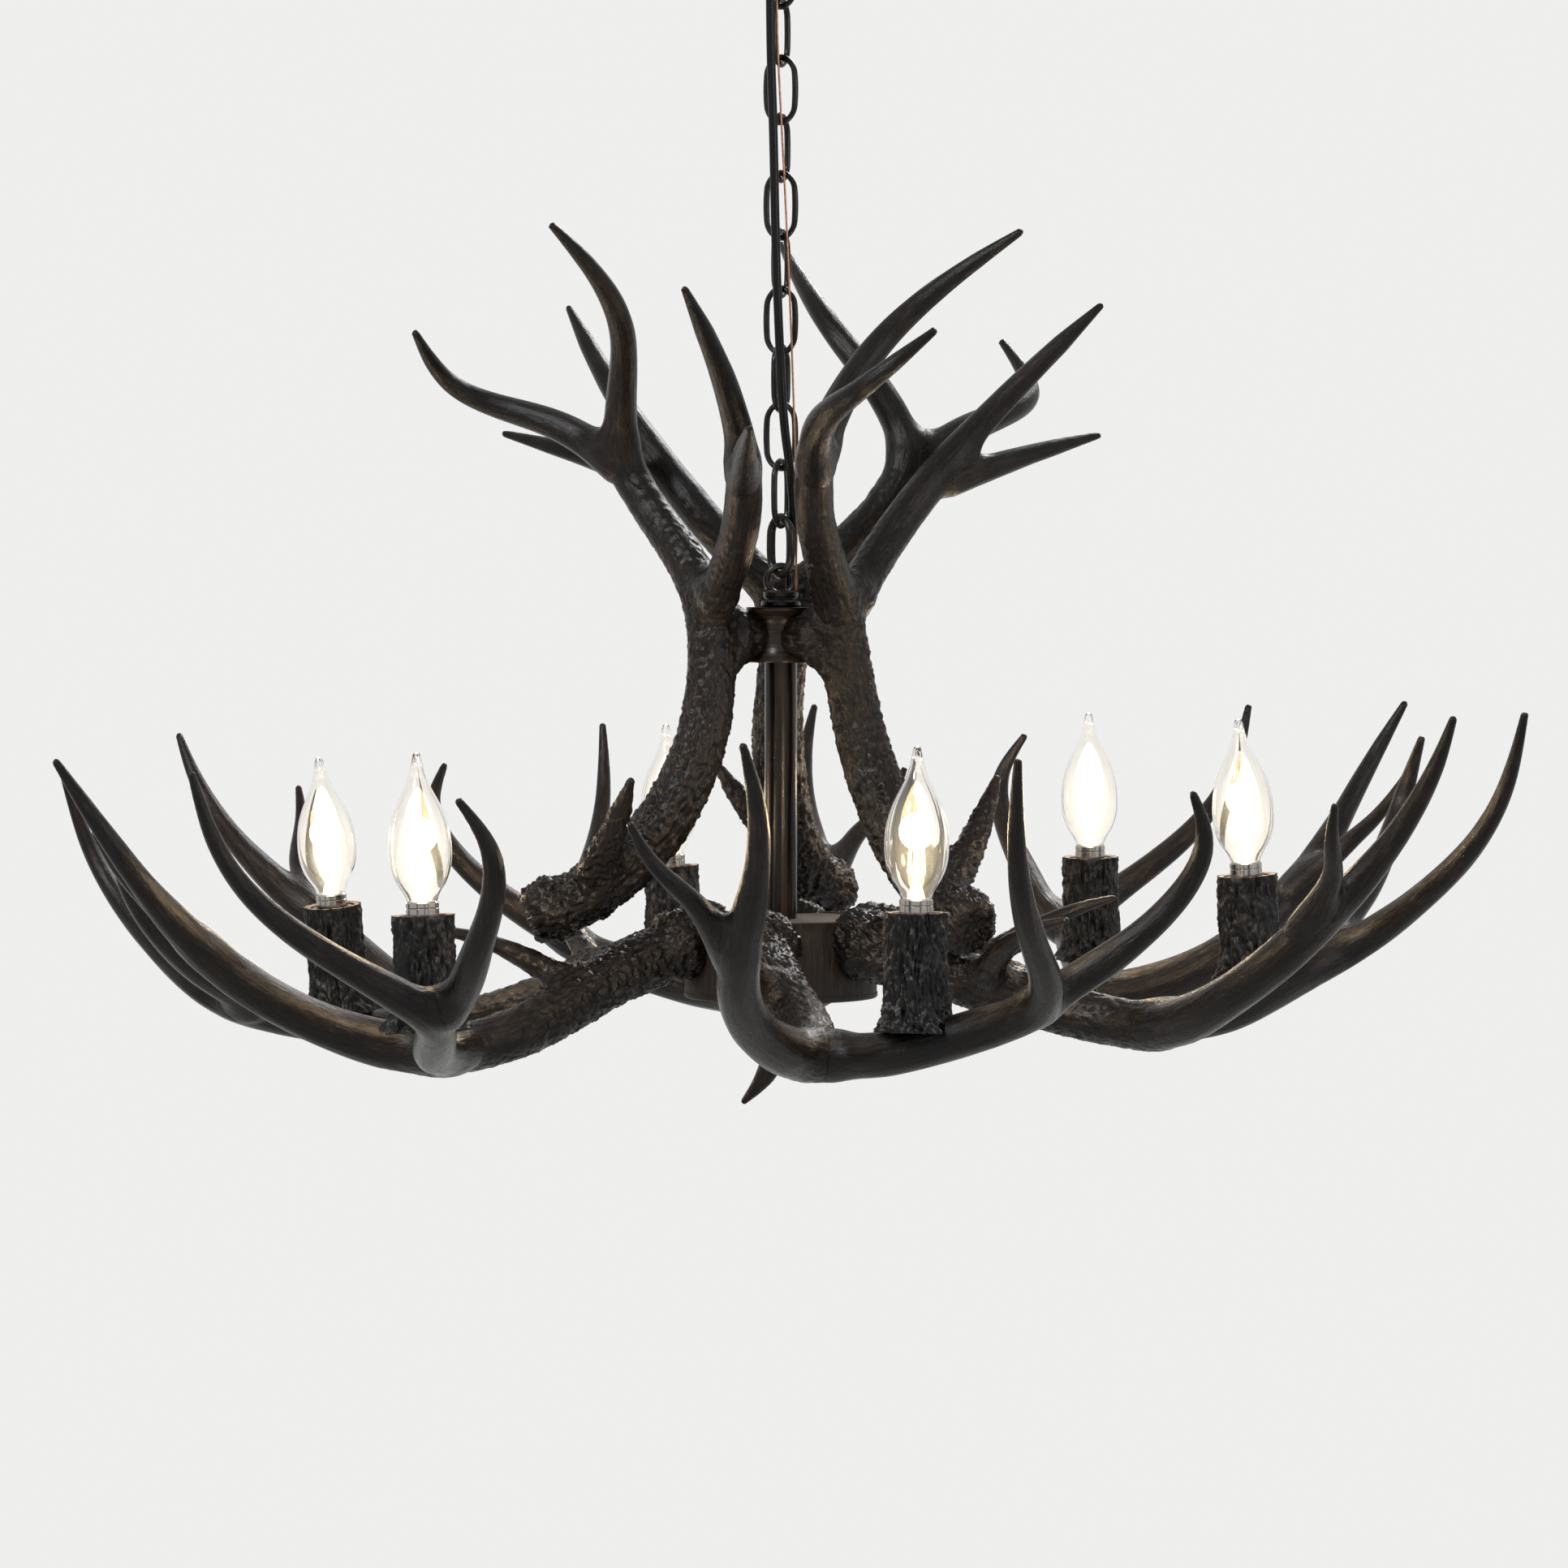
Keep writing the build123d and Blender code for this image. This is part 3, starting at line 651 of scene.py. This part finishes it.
def beside(limb, spots):
    """Where each spot lies by a limb: two ways across, along, and off its skin, and which way."""
    line, across, other, sizes, along, bark = limb
    pick = np.argmin((line ** 2).sum(1) - 2 * spots @ line.T, axis=1)
    off = spots - line[pick]
    a = (off * across[pick]).sum(1)
    b = (off * other[pick]).sum(1)
    w = (off * np.cross(across[pick], other[pick])).sum(1)
    past = np.where(pick == 0, np.maximum(0, -w), 0)
    past += np.where(pick == len(sizes) - 1, np.maximum(0, w), 0)
    slope = np.gradient(sizes, along)
    size = sizes[pick] + slope[pick] * np.clip(w, -1.5, 1.5)
    reach = np.sqrt(a ** 2 + b ** 2 + past ** 2)
    outward = (off - np.cross(across[pick], other[pick]) * (w - np.sign(w) * past)[:, None])
    outward /= np.maximum(reach, 0.01)[:, None]
    return a, b, along[pick] + w, reach - size, size, bark[pick], outward


def webbed_gap(limbs, spots):
    """How far each spot lies off the skin of limbs that run into each other with webs."""
    beds = [beside(limb, spots) for limb in limbs]
    gaps = np.array([bed[3] for bed in beds] + [np.full(len(spots), 1e3)])
    sizes = np.array([bed[4] for bed in beds] + [np.full(len(spots), 1.0)])
    ways = np.array([bed[6] for bed in beds] + [np.zeros((len(spots), 3))])
    order = np.argsort(gaps, axis=0)[:2]
    each = np.arange(len(spots))
    first, second = gaps[order[0], each], gaps[order[1], each]
    web = web_share * np.minimum(sizes[order[0], each], sizes[order[1], each])
    share = np.clip(1 - (second - first) / web, 0, 1)
    turned_away = 1 - (ways[order[0], each] * ways[order[1], each]).sum(1)
    return first - share ** 2 * np.clip(turned_away / web_opening, 0, 1) * web / 4


def ease(skin):
    """Evens out a skin by one step."""
    bmesh.ops.smooth_vert(skin, verts=skin.verts, factor=0.5, use_axis_x=True,
                          use_axis_y=True, use_axis_z=True)


def cast_skin(bm, limbs, step):
    """One closed skin over the limbs, drawn out into webs at their forks."""
    bmesh.ops.recalc_face_normals(bm, faces=bm.faces)
    rough_mesh = mesh_of(bm, "limbs")
    holder = put("limbs", rough_mesh)
    shell = holder.modifiers.new("shell", "REMESH")
    shell.mode = "VOXEL"
    shell.voxel_size = step
    joined = shaped_mesh(holder)
    bpy.data.objects.remove(holder)
    bpy.data.meshes.remove(rough_mesh)
    skin = bmesh.new()
    skin.from_mesh(joined)
    bpy.data.meshes.remove(joined)
    for _ in range(skin_rounds):
        ease(skin)
        skin.normal_update()
        gaps = webbed_gap(limbs, np.array([v.co for v in skin.verts]))
        for vert, gap in zip(skin.verts, np.clip(gaps, -gap_limit, gap_limit)):
            vert.co -= vert.normal * (gap_pull * gap)
    for _ in range(2):
        ease(skin)
    return skin


def relief(a, b, s, size, bark, seed):
    """Height of the surface and how worn it is, at a place beside a limb."""
    grain = noise.noise(Vector((a / 4.2, b / 4.2, s / 46 + seed))) * 0.45
    grain += noise.noise(Vector((a / 1.9, b / 1.9, s / 24 + seed))) * 0.25
    swell = noise.noise(Vector((a / 15, b / 15, s / 42 + seed))) * 0.06 * size
    calm = min(1.0, max(0.0, size - 2.2) / 6.0)
    height = (grain * 0.6 + swell) * calm
    ridge = 0.5 + 0.9 * grain
    if bark > 0.02:
        spot = Vector((a / 3.6, b / 3.6, s / 7.0 + seed))
        spot += noise.noise_vector(spot * 0.7) * 0.9
        worm = 0.5 - abs(noise.noise(spot)) * 2.4
        worm += 0.35 * noise.noise(spot * 2.3)
        pearls = noise.voronoi(Vector((a, b, s)) / 4.6 + Vector((seed, 5, 9)))[0][0]
        pearl = max(0.0, 1 - (pearls / 0.5) ** 2)
        height += bark * (1.3 * worm + 0.9 * pearl) * min(1.0, size / 7)
        ridge += 0.55 * min(1.0, bark) * (worm + 0.8 * pearl)
    return height, ridge


def note_grain(mesh, grains, wears):
    """Notes on each point which way the grain runs and how worn the surface is."""
    run = mesh.attributes.new("grain", "FLOAT_VECTOR", "POINT")
    run.data.foreach_set("vector", np.array(grains, dtype=np.float32).ravel())
    rubbed = mesh.attributes.new("wear", "FLOAT", "POINT")
    rubbed.data.foreach_set("value", np.array(wears, dtype=np.float32))


def carve(skin, limbs, name, seed):
    """Gives the skin its bark, pearls and grain, and notes how worn and which way it runs."""
    skin.normal_update()
    spots = np.array([v.co for v in skin.verts])
    beds = [beside(limb, spots) for limb in limbs]
    gaps = np.array([bed[3] for bed in beds])
    nearness = np.exp(-np.maximum(0.0, gaps - gaps.min(axis=0)) / blend_reach)
    nearness /= nearness.sum(axis=0)
    bark = sum(share * bed[5] for share, bed in zip(nearness, beds))
    moves, grains, wears = [], [], []
    for i, shares in enumerate(nearness.T):
        height = ridge = 0.0
        for share, bed in zip(shares, beds):
            if share > least_share:
                part = relief(bed[0][i], bed[1][i], bed[2][i], bed[4][i], bark[i], seed)
                height += share * part[0]
                ridge += share * part[1]
        main = beds[int(np.argmax(shares))]
        moves.append(height)
        grains.append((main[0][i] * MM, main[1][i] * MM, main[2][i] * MM * grain_stretch + seed))
        wears.append(min(1.0, max(0.0, ridge)))
    for vert, move in zip(skin.verts, moves):
        vert.co += vert.normal * move
    for face in skin.faces:
        face.smooth = True
    mesh = mesh_of(skin, name)
    note_grain(mesh, grains, wears)
    mesh.materials.append(antler_resin)
    return mesh


def set_casting(mesh, name, place, node):
    """A copy of a casting, from millimetres in its own frame to its place in metres."""
    copy = mesh.copy()
    copy.name = name
    copy.transform(Matrix.Scale(MM, 4) @ place)
    made = put(name, copy)
    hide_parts(node)
    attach(made, "pendant")


tubes, limbs = bmesh.new(), []
add_limb(tubes, limbs,
         [(145, 9, -161), (130, 12, -155), (85, 18, -121), (47, 14, -37), (46, 1, 17),
          (61, -30, 58), (81, -54, 100), (94, -12, 174), (149, 41, 235)],
         [15.5, 16.5, 16, 16, 15.5, 14.5, 14, 13.5, 12.5, 11.5, 11, 10.5, 9.5, 8.5, 7.5, 6.2, 4.6,
          2.3],
         rough=(1.5, -0.75), burr=(3.4, 5.0))
add_limb(tubes, limbs, [(74, -42, 86), (92, -66, 106), (115, -86, 122), (171, -110, 144),
                        (202, -85, 176)],
         [10.5, 10.5, 10, 9, 8.2, 7, 5.8, 4.5, 2.3], start=280)
add_limb(tubes, limbs, [(46, 2, 10), (40, 45, 53), (47, 86, 99), (68, 124, 145),
                        (102, 163, 196)],
         [12, 11.5, 11, 11, 9.5, 8, 7, 5.4, 2.2], rough=(0.5, -0.6), start=200)
add_limb(tubes, limbs, [(44, 70, 84), (60, 138, 105), (73, 195, 119)],
         [9, 8.5, 7, 5.0, 2.2], start=290)
add_limb(tubes, limbs, [(121, 18, -145), (113, 50, -112), (108, 72, -81)],
         [10.5, 9.5, 8, 5.8, 2.4], rough=(1.2, 0.7), start=30)
add_limb(tubes, limbs, [(50, 9, 0), (26, 1, -1), (16.5, 0, -1)], [13.5, 12.8, 12.6],
         rough=(0.9, 0.9), start=150)
upper_casting = carve(cast_skin(tubes, limbs, skin_step), limbs, "upper casting", 2.0)
for number, (yaw, droop, turn) in enumerate(upper_pose, 1):
    azimuth = upper_azimuth + 360 / len(upper_pose) * (number - 1) + yaw
    place = (shift(0, 0, collar_mid) @ turn_about(azimuth, "Z") @ turn_about(droop, "Y")
             @ turn_about(turn, "X"))
    set_casting(upper_casting, f"high_antler_{number}", place, f"upper_antler_{number}")
bpy.data.meshes.remove(upper_casting)

# ---- lower antlers ---------------------------------------------------
# Six copies of a second casting reach out from the hub, each on a stud through its wall. The
# side branch carries the candle, and every limb ends in a smooth, slightly blunt tip.
stud_z = -619.0
lower_azimuth = -99.6
lower_pose = [(0.3, -0.9, -0.3), (0.4, 1.8, 1.4), (-1.0, 0.6, -6.4),
              (-0.5, -0.6, -1.9), (1.4, -1.4, 1.3), (-0.4, -1.7, 3.0)]
lower_count = len(lower_pose)


def lower_place(index):
    yaw, droop, turn = lower_pose[index]
    azimuth = lower_azimuth - 360 / lower_count * index + yaw
    return (shift(0, 0, stud_z) @ turn_about(azimuth, "Z")
            @ shift(hub_r, 0, 0) @ turn_about(droop, "Y") @ turn_about(turn, "X")
            @ shift(-hub_r, 0, 0))


tubes, limbs = bmesh.new(), []
add_limb(tubes, limbs,
         [(54.5, 0, 1), (70, 2, -7), (99, 10, -17), (166, 41, -42), (223, 51, -53),
          (299, 33, -32), (367, 40, 17), (406, 54, 62), (427, 56, 93), (443, 52, 120)],
         [16.5, 16.5, 16, 15.5, 15, 14.5, 14, 14, 13.5, 12.5, 12, 11.5, 11, 9.5, 7.5, 6.0, 4.5,
          2.3],
         rough=(1.5, -1.6), burr=(4.4, 12.0))
add_limb(tubes, limbs, [(206, 44, -52), (228, 72, -53), (246, 101, -50), (260, 149, -36),
                        (277, 183, -22), (331, 190, 12), (387, 186, 69), (402, 188, 113)],
         [11, 12.5, 12.5, 12, 11, 10, 8.5, 7.2, 5.9, 4.5, 2.3], start=190)
add_limb(tubes, limbs, [(335, 36, -8), (358, 28, 12), (383, 16, 37), (397, -3, 58),
                        (407, -13, 78)],
         [9, 8.6, 7.4, 5.5, 4.2, 2.2], start=310)
add_limb(tubes, limbs, [(266, 162, -34), (260, 200, -10), (261, 235, 15), (265, 272, 69),
                        (279, 267, 94)],
         [10, 10, 9, 7.2, 5.6, 2.3], start=310)
add_limb(tubes, limbs, [(128, 24, -34), (142, 14, -20), (160, 5, -7), (190, -3, 7),
                        (215, -4, 13)],
         [9, 8.4, 7, 5, 3.7, 1.9], rough=(0.9, -0.3), start=90)
lower_casting = carve(cast_skin(tubes, limbs, skin_step), limbs, "lower casting", 5.0)
for number in range(1, lower_count + 1):
    set_casting(lower_casting, f"low_antler_{number}", lower_place(number - 1),
                f"lower_antler_{number}")
bpy.data.meshes.remove(lower_casting)

# ---- finial tine -----------------------------------------------------
# A small antler tip is screwed up into the cover's dome and leans to one side. It is cast in
# the same resin as the antlers, with a finer skin because it is small.
dome_low = cover_low - dome_depth
finial_step = 0.9
tubes, limbs = bmesh.new(), []
add_limb(tubes, limbs, [(0, 0, dome_low + 6), (-2, 0, dome_low - 14),
                        (-9, -1, dome_low - 34), (-22, -2, dome_low - 50)],
         [9, 8, 6, 1.9])
finial = carve(cast_skin(tubes, limbs, finial_step), limbs, "finial casting", 8.0)
set_casting(finial, "finial", Matrix.Identity(4), "finial_tine")
bpy.data.meshes.remove(finial)

# ---- candle sleeves --------------------------------------------------
# Each lamp stands in a cast sleeve like a cut branch, with bark down its side, a flat sawn rim
# and a flared root that grips the beam.
candle_x = 254.8
candle_y = 115.6
sleeve_top = 27.3
sleeve_height = 64.3
sleeve_r = 17.4
sleeve_levels = 80
sleeve_sides = 160
bore_r = 13.0
rim_r = 16.4

bark_resin = finish("bark resin", (0.02, 0.014, 0.011), 0.42, specular=0.25)
bark_grain = pattern(bark_resin, 1.3, along="grain", detail=5.0, rough=0.65)
bark_height = add_node(bark_resin, "ShaderNodeAttribute", {"attribute_name": "wear"})
colour_by(bark_resin, bark_height,
          [(0.2, (0.0018, 0.0016, 0.0016)), (0.6, (0.0044, 0.0037, 0.0034)),
           (0.97, (0.022, 0.0155, 0.0115))])
rough_by(bark_resin, bark_grain, 0.06, 0.30)
bump(bark_resin, bark_grain, 0.7)

sawn_rim = finish("sawn rim", (0.06, 0.04, 0.028), 0.5)
rim_rings = pattern(sawn_rim, 2.4, detail=5.0)
colour_by(sawn_rim, rim_rings, [(0.3, (0.010, 0.007, 0.0055)), (0.8, (0.070, 0.042, 0.026))])
bump(sawn_rim, rim_rings, 0.15)


def bark_sleeve(seed):
    """A sleeve in the candle's own frame, its rim at z = 0."""
    levels = np.linspace(0, -sleeve_height, sleeve_levels)
    profile = [(bore_r, -sleeve_height + 4), (bore_r, -1.0), (bore_r + 0.4, -0.3),
               (rim_r - 0.5, 0.0)]
    for z in levels:
        root = max(0.0, (-z - 42) / 22)
        profile.append((sleeve_r - 0.4 + 4.2 * root ** 2 + 0.3 * math.sin(z / 9), float(z)))
    profile += [(6, -sleeve_height), (6, -sleeve_height + 4)]
    bm = spun(profile, sleeve_sides)
    bm.normal_update()
    moves, grains, wears = [], [], []
    for vert in bm.verts:
        x, y, z = vert.co
        reach = vert.co.xy.length
        outside = reach > rim_r - 0.2
        fissure = noise.noise(Vector((x / 2.5, y / 2.5, z / 15 + seed)))
        plate = 0.5 - abs(fissure) * 2.7
        crumb = noise.noise(Vector((x / 1.7, y / 1.7, z / 3.2 + seed)))
        knot = noise.noise(Vector((x / 9, y / 9, z / 11 + seed)))
        root = max(0.0, (-z - 44) / 20)
        lobe = noise.noise(Vector((x / 8, y / 8, seed)))
        move = (1.5 * plate + 0.9 * crumb + 0.8 * knot
                + root ** 1.4 * (13 * max(-0.1, lobe) + 2.4 * crumb))
        moves.append(move if outside else 0.0)
        grains.append((x * MM, y * MM, z * MM * 0.25 + seed))
        wears.append(min(1.0, max(0.0, 0.45 + 0.55 * plate + 0.35 * crumb)))
    for vert, move in zip(bm.verts, moves):
        if move and vert.co.xy.length > 0:
            vert.co.xy *= 1 + move / vert.co.xy.length
    bmesh.ops.recalc_face_normals(bm, faces=bm.faces)
    for face in bm.faces:
        face.smooth = True
        flat_top = face.calc_center_median().z > -0.6 and face.normal.z > 0.6
        face.material_index = 1 if flat_top else 0
    mesh = mesh_of(bm, "bark sleeve")
    note_grain(mesh, grains, wears)
    mesh.materials.append(bark_resin)
    mesh.materials.append(sawn_rim)
    return mesh


def candle_place(index):
    return lower_place(index) @ shift(candle_x, candle_y, sleeve_top)


for number in range(1, lower_count + 1):
    sleeve = bark_sleeve(number * 3.7)
    set_casting(sleeve, f"bark_sleeve_{number}", candle_place(number - 1),
                f"candle_sleeve_{number}")
    bpy.data.meshes.remove(sleeve)

# ---- lamps -----------------------------------------------------------
# A black moulded holder sits in the sleeve. The lamp screws into it: a bright nickel cap, a
# blown flame-shaped glass drawn out to a tip, and four glowing rods on a glass stem.
cap_ring_r = 9.2
cap_ring_height = 8.0
cap_seat = -0.9
shell_r = 6.9
shell_low = cap_seat - 22
glass_wall = 0.9
glass_stations = 44
glass_inner_top = 77
rod_low = 14
rod_high = 44
rod_r = 0.85
rod_circle_r = 4.2
rod_lean = -3
thread_depth = 0.45
thread_pitch = 1.3
holder_r = 12.6
holder_low = -60.3
holder_bore_r = 7.0

holder_plastic = finish("holder plastic", (0.022, 0.021, 0.020), 0.5)
holder_mottle = pattern(holder_plastic, 2.0)
rough_by(holder_plastic, holder_mottle, 0.4, 0.6)
bump(holder_plastic, holder_mottle, 0.04)

bright_nickel = finish("bright nickel", (0.33, 0.32, 0.30), 0.14, metallic=1.0)
nickel_lines = pattern(bright_nickel, 1.2, stretch=(0.2, 0.2, 1.0))
rough_by(bright_nickel, nickel_lines, 0.1, 0.26)
bump(bright_nickel, nickel_lines, 0.03)

clear_glass = finish("clear glass", (1.0, 0.985, 0.95), 0.02, specular=0.5)
glass_shader = shader_of(clear_glass)
glass_shader.inputs["Transmission Weight"].default_value = 1.0
glass_shader.inputs["IOR"].default_value = 1.45
# The glass's warm emission is a painted glow: the glass is no lamp, and it stands in for the
# bloom round the rods, strongest where the glass faces the viewer and low in the bulb.
glass_shader.inputs["Emission Color"].default_value = (1.0, 0.80, 0.48, 1.0)
glow = add_node(clear_glass, "ShaderNodeLayerWeight", Blend=0.5)
painted_glow_share = remap(clear_glass, glow, "Facing", (0.0, 0.3), (0.16, 0.0))
painted_glow_height = add_node(clear_glass, "ShaderNodeAttribute", {"attribute_name": "glow"})
painted_glow_power = add_node(clear_glass, "ShaderNodeMath", {"operation": "MULTIPLY"})
join(clear_glass, painted_glow_share, "Result", painted_glow_power, 0)
join(clear_glass, painted_glow_height, "Fac", painted_glow_power, 1)
join(clear_glass, painted_glow_power, "Value", glass_shader, "Emission Strength")


def mix_shaders(mat, share, output, low, high, end="Material Output"):
    """Shows one shader where the share is 0 and another where it is 1."""
    made = add_node(mat, "ShaderNodeMixShader")
    join(mat, share, output, made, "Fac")
    join(mat, low, 0, made, 1)
    join(mat, high, 0, made, 2)
    join(mat, made, "Shader", mat.node_tree.nodes[end], "Surface")


see_through = add_node(clear_glass, "ShaderNodeBsdfTransparent")
light_path = add_node(clear_glass, "ShaderNodeLightPath")
mix_shaders(clear_glass, light_path, "Is Shadow Ray", glass_shader, see_through)

glowing_rod = finish("glowing rod", (1.0, 0.86, 0.6), 0.5)
rod_shader = shader_of(glowing_rod)
rod_shader.inputs["Emission Color"].default_value = (1.0, 0.83, 0.52, 1.0)
rod_shader.inputs["Emission Strength"].default_value = 7.0

stem_glass = finish("stem glass", (0.95, 0.93, 0.88), 0.08)
stem_shader = shader_of(stem_glass)
stem_shader.inputs["Transmission Weight"].default_value = 0.7
# The stem's warm emission is a painted glow: the glass stem is no lamp, and it stands in for the
# rods' light falling on it.
stem_shader.inputs["Emission Color"].default_value = (1.0, 0.84, 0.58, 1.0)
stem_shader.inputs["Emission Strength"].default_value = 0.7


def flame_profile(shrink=0.0, lift=0.0, tip=True):
    """Half outline of the bulb's glass above the cap's ring, thinner by shrink."""
    marks = [(8.4, 0), (9.6, 3.4), (12.7, 8.5), (15.6, 14.5), (17.3, 22), (17.6, 30),
             (16.9, 38), (14.9, 46.5), (11.9, 54), (8.3, 61), (5.4, 67.5), (3.7, 73.5),
             (2.7, 79), (1.6, 82), (0, 83)]
    line = smooth_line([(r, 0, z) for r, z in marks], glass_stations)
    kept = []
    for r, _, z in line:
        if not tip and z > glass_inner_top:
            break
        kept.append((max(0.0, float(r) - shrink), float(z) + lift))
    return kept


for number in range(1, lower_count + 1):
    place = candle_place(number - 1)
    bulb = f"bulb_{number}"

    holder = spun([(4, holder_low), (holder_r, holder_low), (holder_r, -1.8),
                   (holder_r - 0.8, -1.0), (holder_bore_r, -1.0), (holder_bore_r, -27),
                   (4, -27)], 48)
    soften(holder, 0.2)
    piece(f"socket_{number}", holder, holder_plastic, "pendant",
          [f"lamp_holder_{number}"], place=place)

    threads = [(shell_r - thread_depth * (k % 2), cap_seat - 1.5 - k * thread_pitch)
               for k in range(13)]
    cap = spun([(0, cap_ring_height - 0.5), (cap_ring_r - 0.9, cap_ring_height - 0.5),
                (cap_ring_r, cap_ring_height - 1.4), (cap_ring_r, 4.2), (cap_ring_r - 0.35, 3.8),
                (cap_ring_r, 3.4), (cap_ring_r, cap_seat + 0.4), (cap_ring_r - 0.4, cap_seat),
                (shell_r, cap_seat), *threads, (3, shell_low), (0, shell_low)], 56,
               closed=False)
    piece(f"lamp_cap_{number}", cap, bright_nickel, bulb, [f"bulb_cap_{number}"],
          place=place)

    low = cap_ring_height - 0.5
    outline = flame_profile(0.0, low) + list(reversed(flame_profile(glass_wall, low, False)))
    inner_top = outline[glass_stations]
    outline.insert(glass_stations, (0.0, inner_top[1] + 1.5))
    glass = spun(outline, 72)
    # Painted glow share of the glass: full up to 26 mm above its foot, fading to none at 62 mm.
    painted_glow_shares = [min(1.0, max(0.0, (low + 62 - v.co.z) / 36)) for v in glass.verts]
    blown = piece(f"lamp_glass_{number}", glass, clear_glass, bulb,
                  [f"bulb_glass_{number}"], crease=60, place=place)
    painted_glow_part = blown.data.attributes.new("glow", "FLOAT", "POINT")
    painted_glow_part.data.foreach_set("value", np.array(painted_glow_shares, dtype=np.float32))

    rods = bmesh.new()
    for quarter in range(4):
        grown = drum(rods, rod_r, low + rod_low, low + rod_high, sides=12)
        lean = (turn_about(90 * quarter + 20, "Z") @ shift(rod_circle_r, 0, 0)
                @ shift(0, 0, low + rod_low) @ turn_about(rod_lean, "Y")
                @ shift(0, 0, -low - rod_low))
        bmesh.ops.transform(rods, matrix=lean, verts=grown)
    piece(f"lamp_rods_{number}", rods, glowing_rod, bulb,
          [f"bulb_filament_{number}"], place=place)
    post = spun([(0, low), (5, low), (4.2, low + 3), (2.6, low + 8), (2.0, low + 13),
                 (5.0, low + 13.6), (5.0, low + 14.4), (1.2, low + 15), (0.9, low + 40),
                 (0, low + 41)], 32, closed=False)
    piece(f"lamp_post_{number}", post, stem_glass, bulb, place=place)

# ---- floor, light and camera -----------------------------------------
# A pale floor lies well below the fixture, under soft lamps and a pale surround. The camera
# stands level with the middle of the chandelier and looks slightly down.
floor_level = -1.75
floor_size = 2.8
floor_fade = (1.2, 2.7)
surround = (0.86, 0.858, 0.853)
surround_strength = 0.42
camera_height = -0.397
camera_distance = 3.3
camera_pitch = 2.32
frame_pixels = 1932
focal_pixels = 6918
axis_pixel = 962.1
sensor = 36.0
flame_power = 1.1
flame_colour = (1.0, 0.72, 0.42)
flame_r = 0.012
flame_rise = 44

floor_paint = finish("floor paint", surround, 0.85)
place_node = add_node(floor_paint, "ShaderNodeTexCoord")
spread = add_node(floor_paint, "ShaderNodeVectorMath", {"operation": "LENGTH"})
fade = remap(floor_paint, spread, "Value", floor_fade)
clear = add_node(floor_paint, "ShaderNodeBsdfTransparent")
join(floor_paint, place_node, "Object", spread, 0)
mix_shaders(floor_paint, fade, "Result", shader_of(floor_paint), clear)
floor_bm = bmesh.new()
bmesh.ops.create_circle(floor_bm, cap_ends=True, segments=96, radius=floor_size)
floor_mesh = mesh_of(floor_bm, "floor")
floor_mesh.materials.append(floor_paint)
floor = put("floor", floor_mesh)
floor.location.z = floor_level

world = bpy.data.worlds.new("surround")
world.use_nodes = True
bpy.context.scene.world = world
lit = world.node_tree.nodes["Background"]
lit.inputs["Color"].default_value = (*surround, 1.0)
lit.inputs["Strength"].default_value = surround_strength
seen = add_node(world, "ShaderNodeBackground", Color=(*surround, 1.0), Strength=1.0)
ray = add_node(world, "ShaderNodeLightPath")
either = add_node(world, "ShaderNodeMath", {"operation": "MAXIMUM"})
any_of_three = add_node(world, "ShaderNodeMath", {"operation": "MAXIMUM"})
join(world, ray, "Is Camera Ray", either, 0)
join(world, ray, "Is Transmission Ray", either, 1)
join(world, either, "Value", any_of_three, 0)
join(world, ray, "Is Glossy Ray", any_of_three, 1)
mix_shaders(world, any_of_three, "Value", lit, seen, "World Output")


def soft_lamp(name, place, aim, size, power):
    """A round white lamp, size metres across, that points at aim."""
    light = bpy.data.lights.new(name, "AREA")
    light.shape = "DISK"
    light.size = size
    light.energy = power
    lamp = put(name, light)
    lamp.location = place
    direction = Vector(aim) - Vector(place)
    lamp.rotation_mode = "QUATERNION"
    lamp.rotation_quaternion = direction.to_track_quat("-Z", "Y")


soft_lamp("key", (-1.5, -1.9, 1.3), (0, 0, -0.45), 0.55, 60)
soft_lamp("fill", (2.2, -1.8, 0.2), (0, 0, -0.5), 0.9, 16)
soft_lamp("back", (0.9, 2.0, 1.1), (0, 0, -0.45), 0.9, 34)
for index in range(lower_count):
    flame = bpy.data.lights.new("flame", "POINT")
    flame.energy = flame_power
    flame.color = flame_colour
    flame.shadow_soft_size = flame_r
    put("flame", flame).location = (candle_place(index) @ Vector((0, 0, flame_rise))) * MM

camera_data = bpy.data.cameras.new("camera")
camera_data.sensor_width = sensor
camera_data.lens = focal_pixels / frame_pixels * sensor
camera_data.shift_x = (frame_pixels / 2 - axis_pixel) / frame_pixels
camera = put("camera", camera_data)
camera.location = (0, -camera_distance, camera_height)
camera.rotation_euler = (math.radians(90 - camera_pitch), 0, 0)
bpy.context.scene.camera = camera
bpy.context.scene.view_settings.view_transform = "Standard"
